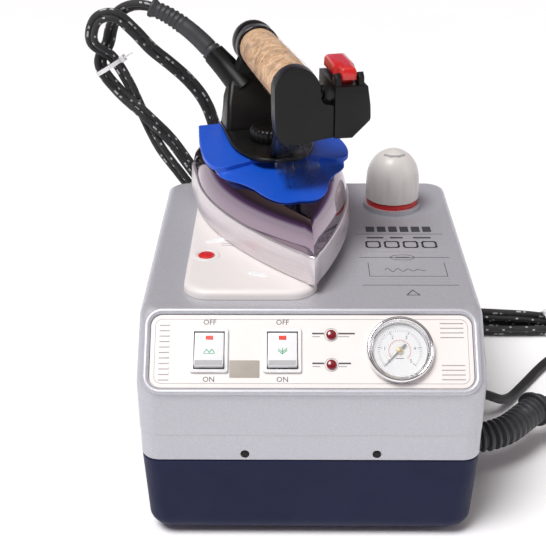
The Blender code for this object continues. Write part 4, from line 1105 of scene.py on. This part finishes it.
def make_thermostat(m):
    frame = iron_frame() @ place(0, 150, 0)
    rings = []
    for z, radius, depth in ((58.3, 16.6, 0.4), (58.8, 17.0, 0.7), (65.2, 16.9, 0.7), (66.6, 16.4, 0.6),
                             (68.0, 15.2, 0.2), (68.6, 13.5, 0.0), (68.8, 11.0, 0.0)):
        rings.append(round_ring(FINE, z, lambda a, r=radius, d=depth: r - d * (0.5 + 0.5 * cos(a * 24))))
    knob = loft("dial_knob", rings, m["black"], frame, 60)
    mark = strip([(0, -9), (0, -14)], 1.0, 0.15, m["white"], frame @ place(0, 0, 68.4))
    show(joined("thermostat_shown", [knob] + mark), "thermostat", "black_plastic", "thermostat_knob")


def make_strain_relief(m):
    path = [(-34.5, 219.5, 110.6), (-42, 225.5, 118.5), (-52, 232, 127.5), (-66, 241, 137),
            (-80, 248.4, 143.4)]
    route = smooth_route(path, 0.8)
    last = len(route) - 1
    radii = []
    for k in range(last + 1):
        share = k / last
        radius = 7.8 - 1.3 * share
        if share < 0.04:
            radius = 8.4
        elif share < 0.07:
            radius = 7.0
        if share > 0.52:
            radius += 0.55 * sin((share - 0.52) / 0.44 * 6.5 * tau)
        if share > 0.95:
            radius = 8.0
        radii.append(radius)
    relief = swept("relief_shown", route, radii, m["grey_rubber"], iron_frame(), 40, 70)
    show(relief, "iron", "rubber", "strain_relief")


def make_film_bunch(m):
    """The wrapping's loose end, gathered over the foot of the front post."""
    iron = iron_frame()
    parts = []
    for strand in range(5):
        x = -9.0 + 5.2 * strand
        upper = [(x * 0.9, 69.5, 88), (x, 66, 78 - strand % 2 * 2), (x * 1.25, 62, 66)]
        lower = [(x * 0.9 + 1.5, 68, 55 - strand), (x * 0.55 + 3, 72 + strand, 42 + strand)]
        route = smooth_route(upper + lower, 1.5)
        count, sides = len(route), 20
        rings = []
        for k, (point, (side, across)) in enumerate(zip(route, frames_along(route))):
            ring = []
            for i in range(sides):
                angle = tau * i / sides
                p = Vector((cos(angle) + strand * 7, sin(angle), k * 0.08))
                r = (3.6 - 1.5 * k / count) * (1 + 0.45 * noise.noise(p * 1.7))
                ring.append(point + r * (cos(angle) * side * 0.6 + sin(angle) * across * 1.25))
            rings.append(ring)
        parts.append(open_tube("film_fold", rings, m["film"], iron))
    show(joined("film_bunch", parts), "iron", "clear_glass")


# ---------------------------------------------------------------- lines


def twin_line(name, points, m):
    """Two braided strands side by side along one path, with paired light flecks."""
    spread, radius, sides, step = 2.75, 2.95, 12, LINE_STEP
    roll = radians(45)
    verts, faces, kinds, uvs = [], [], [], []
    frames = frames_along(points)
    for strand in (-1, 1):
        start = len(verts)
        for point, (side, across) in zip(points, frames):
            turned_side = cos(roll) * side + sin(roll) * across
            turned_across = -sin(roll) * side + cos(roll) * across
            centre = point + strand * spread * turned_across
            for i in range(sides):
                angle = tau * i / sides
                verts.append(centre + radius * (cos(angle) * turned_side + sin(angle) * turned_across))
        for k in range(len(points) - 1):
            for i in range(sides):
                j = (i + 1) % sides
                a, b = start + k * sides, start + (k + 1) * sides
                faces.append((a + i, a + j, b + j, b + i))
                phase = (k * step + 3.5 * (strand + 1)) % 22.0
                lane = (i + 2 * int((k * step) // 22.0) + 3 * (strand > 0)) % 4
                kinds.append(1 if (phase < 2.3 or 5.0 < phase < 7.3) and lane == 0 else 0)
                uvs.append((k * step * MM, i * 1.5 * MM))
        for end in (start, start + (len(points) - 1) * sides):
            faces.append(tuple(end + i for i in range(sides)))
            kinds.append(0)
            uvs.append((0, 0))
    mesh = bpy.data.meshes.new(name)
    mesh.from_pydata([Vector(v) * MM for v in verts], [], faces)
    layer = mesh.uv_layers.new(name="weave")
    for polygon, (u, v) in zip(mesh.polygons, uvs):
        corners = ((0, 0), (0, 1.5), (step, 1.5), (step, 0))
        for loop, (du, dv) in zip(polygon.loop_indices, corners * 3):
            layer.data[loop].uv = (u + du * MM, v + dv * MM)
    mesh.materials.append(m["braid"])
    mesh.materials.append(m["fleck"])
    for polygon, kind in zip(mesh.polygons, kinds):
        polygon.material_index = kind
    tidy = bmesh.new()
    tidy.from_mesh(mesh)
    bmesh.ops.recalc_face_normals(tidy, faces=tidy.faces)
    tidy.to_mesh(mesh)
    tidy.free()
    mesh.shade_smooth()
    made = bpy.data.objects.new(name, mesh)
    bpy.context.collection.objects.link(made)
    return made


def length_of(points):
    return sum((b - a).length for a, b in zip(points, points[1:]))


# Middle of the tied hank: down behind the unit, then along the ground to its right
HANK = [(-172, 149, 270), (-159, 146, 249), (-141, 143, 223), (-124, 140, 198), (-107, 138.5, 173),
        (-90, 138.5, 148), (-70, 139.5, 116), (-47, 142, 82), (-22, 147, 48), (8, 154, 24), (42, 160, 12.5),
        (80, 161, 10.8), (115, 156, 10.8), (150, 151, 10.8), (183, 149, 10.8), (210, 149, 10.8),
        (234, 150, 10.8), (255, 153, 10.8)]
# From the strain relief to the hank, from the hank's end up and down again, and on to the sleeve
LOOP = [(-129.5, 138.2, 318.1), (-132.5, 139, 319), (-143, 142, 319), (-154, 147, 314.5), (-162, 153, 306),
        (-167, 156, 295), (-170, 156, 284)]
RUN = [(-180, 140.5, 286), (-181, 139.5, 297), (-174, 138.5, 309), (-160, 138.5, 311),
       (-146, 142, 298), (-132, 145, 281), (-117, 148, 267), (-104, 150, 254), (-93, 151, 240),
       (-86, 152, 226), (-80, 153, 206), (-72, 154, 184), (-58, 155.5, 156), (-40, 157, 124),
       (-20, 159, 92), (4, 164, 62), (30, 172, 40), (58, 173, 27), (90, 168, 20), (120, 161, 18.5),
       (150, 156, 18), (183, 153.5, 17.5), (212, 153, 16), (238, 157, 11), (262, 165, 6.6)]
TAIL = [(285, 173, 6), (312, 177, 6), (342, 168, 6), (370, 145, 6), (386, 108, 6), (391, 65, 6),
        (388, 20, 6), (376, -18, 6), (350, -46, 6), (315, -60, 6), (280, -61, 6), (254, -55, 6),
        (237, -43, 6.4), (229, -30, 9.4), (223, -17, 16), (213, -10.5, 25), (202, -13.5, 32),
        (193, -22, 35.4), (188.6, -26.3, 35.6)]


def hank_strand(side):
    """One strand of the tied hank, offset from its middle; it changes sides once."""
    route = [Vector(p) for p in HANK]
    made = []
    for k in range(len(route)):
        ahead = (route[min(k + 1, len(route) - 1)] - route[max(k - 1, 0)]).normalized()
        flat = Vector((0, -1, 0)) if k < 9 else Vector((ahead.y, -ahead.x, 0)).normalized()
        across = ahead.cross(flat).normalized() if k < 9 else flat
        turn = pi * min(max((k - 1.0) / 1.6, 0.0), 1.0) if k < 9 else pi
        level = cos(turn) * across + sin(turn) * flat if k < 9 else -across
        made.append(route[k] + side * 5.9 * level + (Vector((0, 0, -4.6)) if k >= 10 else Vector()))
        made[-1].z = max(made[-1].z, 6.1)
    return made


def make_iron_line(m):
    down, back = hank_strand(1), hank_strand(-1)
    # The fold at the hank's far end
    turn = [(276, 147, 6.1), (290, 136, 6.1), (291, 121, 6.1), (279, 112, 6.1), (264, 118, 6.1),
            (259, 131, 6.1)]
    if down[-1].y < back[-1].y:
        down, back = back, down
    route = LOOP + down + turn + list(reversed(back)) + RUN + TAIL
    points = smooth_route(route, LINE_STEP)
    cord = twin_line("iron_line", points, m)
    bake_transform(cord)
    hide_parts("line_loop", "line_hank", "line_run", "line_tail")


def make_mains(m):
    """The mains lead: out of its relief, down to the ground, round a coil and into the plug."""
    x0, y0 = COIL_CENTRE
    lead = [(145.5, 5, 25), (149, 5.2, 24.4), (157, 8, 20), (166, 15.5, 12.5), (176, 28, 6.5),
            (187, 44, 4.3), (200, 62, 4.3), (212, 78.5, 4.3), (224, 93, 4.3), (238, 104, 4.3),
            (257, 109.4, 4.3), (280, 109, 4.3)]
    turns, per_turn = 5.36, 24  # turns of the coil, and points on each
    layers = [(48.0, 4.3), (40.0, 4.3), (48.0, 12.5), (40.0, 12.5), (46.0, 20.7), (44.0, 20.4)]
    coil = []
    for k in range(int(turns * per_turn) + 1):
        t = k / per_turn
        base = min(int(t), len(layers) - 1)
        share = t - base
        radius, z = layers[base]
        if share > 0.75 and base + 1 < len(layers):
            ease = (share - 0.75) / 0.25
            ease = ease * ease * (3 - 2 * ease)
            radius += (layers[base + 1][0] - radius) * ease
            z += (layers[base + 1][1] - z) * ease
        angle = pi / 2 - tau * t
        coil.append((x0 + radius * cos(angle), y0 + radius * sin(angle), z))
    tail = [(328, 6.5, 20.3), (318, -2.0, 20.1), (310, -7.4, 20), (303.2, -10.5, 20), (299, -10.5, 20)]
    points = smooth_route(lead + coil + tail, 3.2)
    curve = bpy.data.curves.new("mains_lead", "CURVE")
    curve.dimensions = "3D"
    curve.bevel_depth = MAINS_RADIUS * MM
    curve.bevel_resolution = 4
    curve.use_fill_caps = True
    spline = curve.splines.new("POLY")
    spline.points.add(len(points) - 1)
    for target, p in zip(spline.points, points):
        target.co = (*(p * MM), 1.0)
    curve.materials.append(m["rubber"])
    cord = bpy.data.objects.new("mains_lead", curve)
    bpy.context.collection.objects.link(cord)
    show(cord, "unit", "rubber", "mains_cord", "mains_coil", "mains_cord_end")

    frame = aim((303.0, -10.5, 20), (-1, 0, 0))
    profile = [(5.0, 0), (5.6, 2), (5.2, 3), (6.0, 5), (5.7, 6), (6.8, 9), (9.5, 12.5), (13.5, 15.5),
               (17.2, 19.5), (18.5, 23.5), (18.5, 43), (18.0, 45.2), (16.8, 46)]
    body = turned("plug_body", profile, m["rubber"], frame, 64)
    pins = []
    pin = [(2.4, 40), (2.4, 62.6), (2.0, 64.2), (1.2, 65)]
    for offset in (9.5, -9.5):
        pins.append(turned("pin", pin, m["steel"], frame @ place(0, offset, 0), 24))
    plug = show(joined("plug_shown", [body] + pins), "unit", "rubber", "mains_plug")

    relief = aim(MAINS_INLET, (1, 0, 0))
    shape = [(7.6, -12), (7.6, 0), (11, 0), (11, 3), (10, 4), (7.6, 5)]
    for k in range(8):
        z = 6 + 2.5 * k
        r = 7.3 - 0.25 * k
        shape += [(r, z), (r, z + 1.2), (r - 0.9, z + 1.5), (r - 0.9, z + 2.2)]
    shape += [(5.2, 27)]
    show(turned("lead_relief", shape, m["rubber"], relief, 40), "unit", "rubber", "mains_gland")


def make_sleeve(m):
    """The ribbed sleeve where the iron's line enters the unit, with a flange at its end."""
    path = [(129.2, -67.7, 32), (141, -65.3, 32.5), (156, -58, 33.5), (170, -45, 34.5), (181, -33.5, 35)]
    route = smooth_route(path, 0.75)
    last = len(route) - 1
    length = length_of(route)
    radii = []
    for k in range(last + 1):
        wave = 0.5 + 0.5 * cos(tau * (k / last) * round(length / 5.4))
        radii.append(9.4 + 2.3 * min(1.0, 1.6 * wave))
    end, ahead = route[-1], (route[-1] - route[-2]).normalized()
    for along, radius in ((0.3, 9.8), (0.6, 14.4), (1.0, 14.8), (2.6, 14.8), (3.0, 14.4), (3.3, 10.4),
                          (6.0, 10.2), (11.0, 9.6)):
        route.append(end + ahead * along)
        radii.append(radius)
    sleeve = swept("sleeve_shown", route, radii, m["grey_rubber"], WORLD, 48, 40)
    show(sleeve, "unit", "black_plastic", "outlet_sleeve")
    shape = [(12.1, -14), (12.1, 0), (16.5, 0), (16.5, 3.2), (15.6, 4.4), (13.8, 5.2), (13.5, 7)]
    nut = turned("outlet_nut", shape, m["black"], aim(OUTLET, (1, 0, 0)), 48)
    show(nut, "unit", "black_plastic", "outlet_gland")


def make_tie(name, points, index, radii, m):
    """A cable tie round the bundle, with its square head and short tail."""
    ahead = (points[index + 1] - points[index - 1]).normalized()
    frame = aim(points[index], ahead)
    turns = [tau * i / 48 for i in range(48)]
    rings = []
    for r, z in ((0.0, -1.8), (1.1, -1.8), (1.1, 1.8), (0.0, 1.8)):
        rings.append([((radii[0] + r) * cos(a), (radii[1] + r) * sin(a), z) for a in turns])
    band = loft("band", rings, m["white"], frame, 35, True)
    head = block("head", (-2.6, radii[1] - 0.2, -2.8), (2.6, radii[1] + 4.2, 2.8), m["white"], frame)
    soften(head, 0.5)
    tail = block("tail", (-1.8, radii[1] + 3.0, -0.6), (-0.4, radii[1] + 13.0, 0.6), m["white"], frame)
    return joined(name, [band, head, tail])


def make_ties(m):
    hank = smooth_route(HANK, 6.0)
    upper = make_tie("tie_upper_shown", hank, 1, (12.4, 12.4), m)
    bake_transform(upper)
    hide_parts("tie_upper")
    lower = make_tie("tie_lower_shown", hank, len(hank) - 5, (13.0, 9.6), m)
    show(lower, "unit", "white_plastic")


# ---------------------------------------------------------------- CAD nodes that stay


def dress_nodes(m):
    feet = [f"foot_{side}" for side in ("front_left", "front_right", "rear_left", "rear_right")]
    boiler = [f"boiler_{part}" for part in ("tank", "end_plate", "heater", "cradle_front", "cradle_rear")]
    table = {
        "rubber": feet,
        "black": ["front_screw_left", "front_screw_right"],
        "glass": ["gauge_glass"],
        "brass": ["filler_neck", "cap_plug", "solenoid_valve", "steam_pipe"],
        "steel": boiler + ["sole_heater"],
        "white": ["terminal_block", "microswitch"],
    }
    for material, names in table.items():
        for name in names:
            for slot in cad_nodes[name].material_slots:
                slot.material = m[material]


# ---------------------------------------------------------------- stage


def make_camera():
    tilt, yaw, roll = radians(27.06), radians(-0.81), radians(-0.32)
    ahead = Vector((sin(yaw) * cos(tilt), cos(yaw) * cos(tilt), -sin(tilt)))
    right = Vector((cos(yaw), -sin(yaw), 0))
    up = right.cross(ahead)
    side = cos(roll) * right + sin(roll) * up
    above = -sin(roll) * right + cos(roll) * up
    data = bpy.data.cameras.new("camera")
    data.lens = 72.9
    data.sensor_width = 36.0
    camera = bpy.data.objects.new("camera", data)
    bpy.context.collection.objects.link(camera)
    turn = Matrix((side, above, -ahead)).transposed().to_4x4()
    camera.matrix_world = Matrix.Translation((-0.0168, -0.776, 0.5405)) @ turn
    bpy.context.scene.camera = camera


def area_light(name, at, target, size, power):
    data = bpy.data.lights.new(name, "AREA")
    data.shape = "RECTANGLE"
    data.size, data.size_y = size
    data.energy = power
    light = bpy.data.objects.new(name, data)
    bpy.context.collection.objects.link(light)
    turn = (Vector(target) - Vector(at)).to_track_quat("-Z", "Y").to_matrix().to_4x4()
    light.matrix_world = Matrix.Translation(at) @ turn


def make_stage():
    """A white floor, and a sky that is white to the camera and dim in reflections."""
    n = Nodes("white_floor")
    n.set(Roughness=0.8)
    n.colour(n.ramp(n.noise(3.0, 3.0), [(0.3, (0.97, 0.97, 0.98)), (0.7, (0.99, 0.99, 1.0))]))
    mesh = bpy.data.meshes.new("floor")
    mesh.from_pydata([(-6, -6, 0), (6, -6, 0), (6, 6, 0), (-6, 6, 0)], [], [(0, 1, 2, 3)])
    mesh.materials.append(n.material)
    floor = bpy.data.objects.new("floor", mesh)
    bpy.context.collection.objects.link(floor)

    world = bpy.data.worlds.new("studio")
    bpy.context.scene.world = world
    world.use_nodes = True
    tree = world.node_tree
    background = tree.nodes["Background"]
    coords = tree.nodes.new("ShaderNodeTexCoord")
    parts = tree.nodes.new("ShaderNodeSeparateXYZ")
    tree.links.new(coords.outputs["Generated"], parts.inputs["Vector"])
    stops = [(0.0, (0.9, 0.9, 0.9)), (0.12, (0.85, 0.85, 0.88)), (0.24, (0.20, 0.12, 0.26)),
             (0.42, (0.07, 0.05, 0.07)), (0.70, (0.16, 0.13, 0.10)), (1.0, (0.55, 0.54, 0.52))]
    sky = ramp_in(tree, parts.outputs["Z"], stops)
    paths = tree.nodes.new("ShaderNodeLightPath")
    white = tree.nodes.new("ShaderNodeMix")
    white.data_type = "RGBA"
    white.inputs["B"].default_value = (1.0, 1.0, 1.0, 1.0)
    tree.links.new(paths.outputs["Is Camera Ray"], white.inputs["Factor"])
    tree.links.new(sky, white.inputs["A"])
    tree.links.new(white.outputs["Result"], background.inputs["Color"])
    background.inputs["Strength"].default_value = 1.0
    bpy.context.scene.view_settings.view_transform = "Standard"
    sun_data = bpy.data.lights.new("sun", "SUN")
    sun_data.energy = 2.6
    sun_data.angle = radians(28)
    sun = bpy.data.objects.new("sun", sun_data)
    bpy.context.collection.objects.link(sun)
    sun.matrix_world = aim((0, 0, 2000), (-0.35, -0.3, 1.0))
    area_light("key", (-0.7, -0.9, 1.9), (0, 0, 0.1), (0.8, 0.8), 6)
    area_light("side", (1.7, -0.6, 1.0), (0, 0, 0.1), (0.5, 0.9), 3)


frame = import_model()
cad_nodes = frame["nodes"]
materials = make_materials()
make_camera()
make_iron_line(materials)
make_mains(materials)
make_sleeve(materials)
make_ties(materials)
make_housing(materials)
make_base(materials)
make_panel(materials)
for switch_label, switch_x in zip(("left", "right"), SWITCH_X):
    make_switch(switch_label, switch_x, materials)
make_lamps(materials)
make_gauge(materials)
make_rest(materials)
make_cap(materials)
make_top_print(materials)
make_sole(materials)
make_cover(materials)
make_shield(materials)
make_handle(materials)
make_grip(materials)
make_switch_box(materials)
make_thermostat(materials)
make_strain_relief(materials)
make_film_bunch(materials)
dress_nodes(materials)
make_stage()
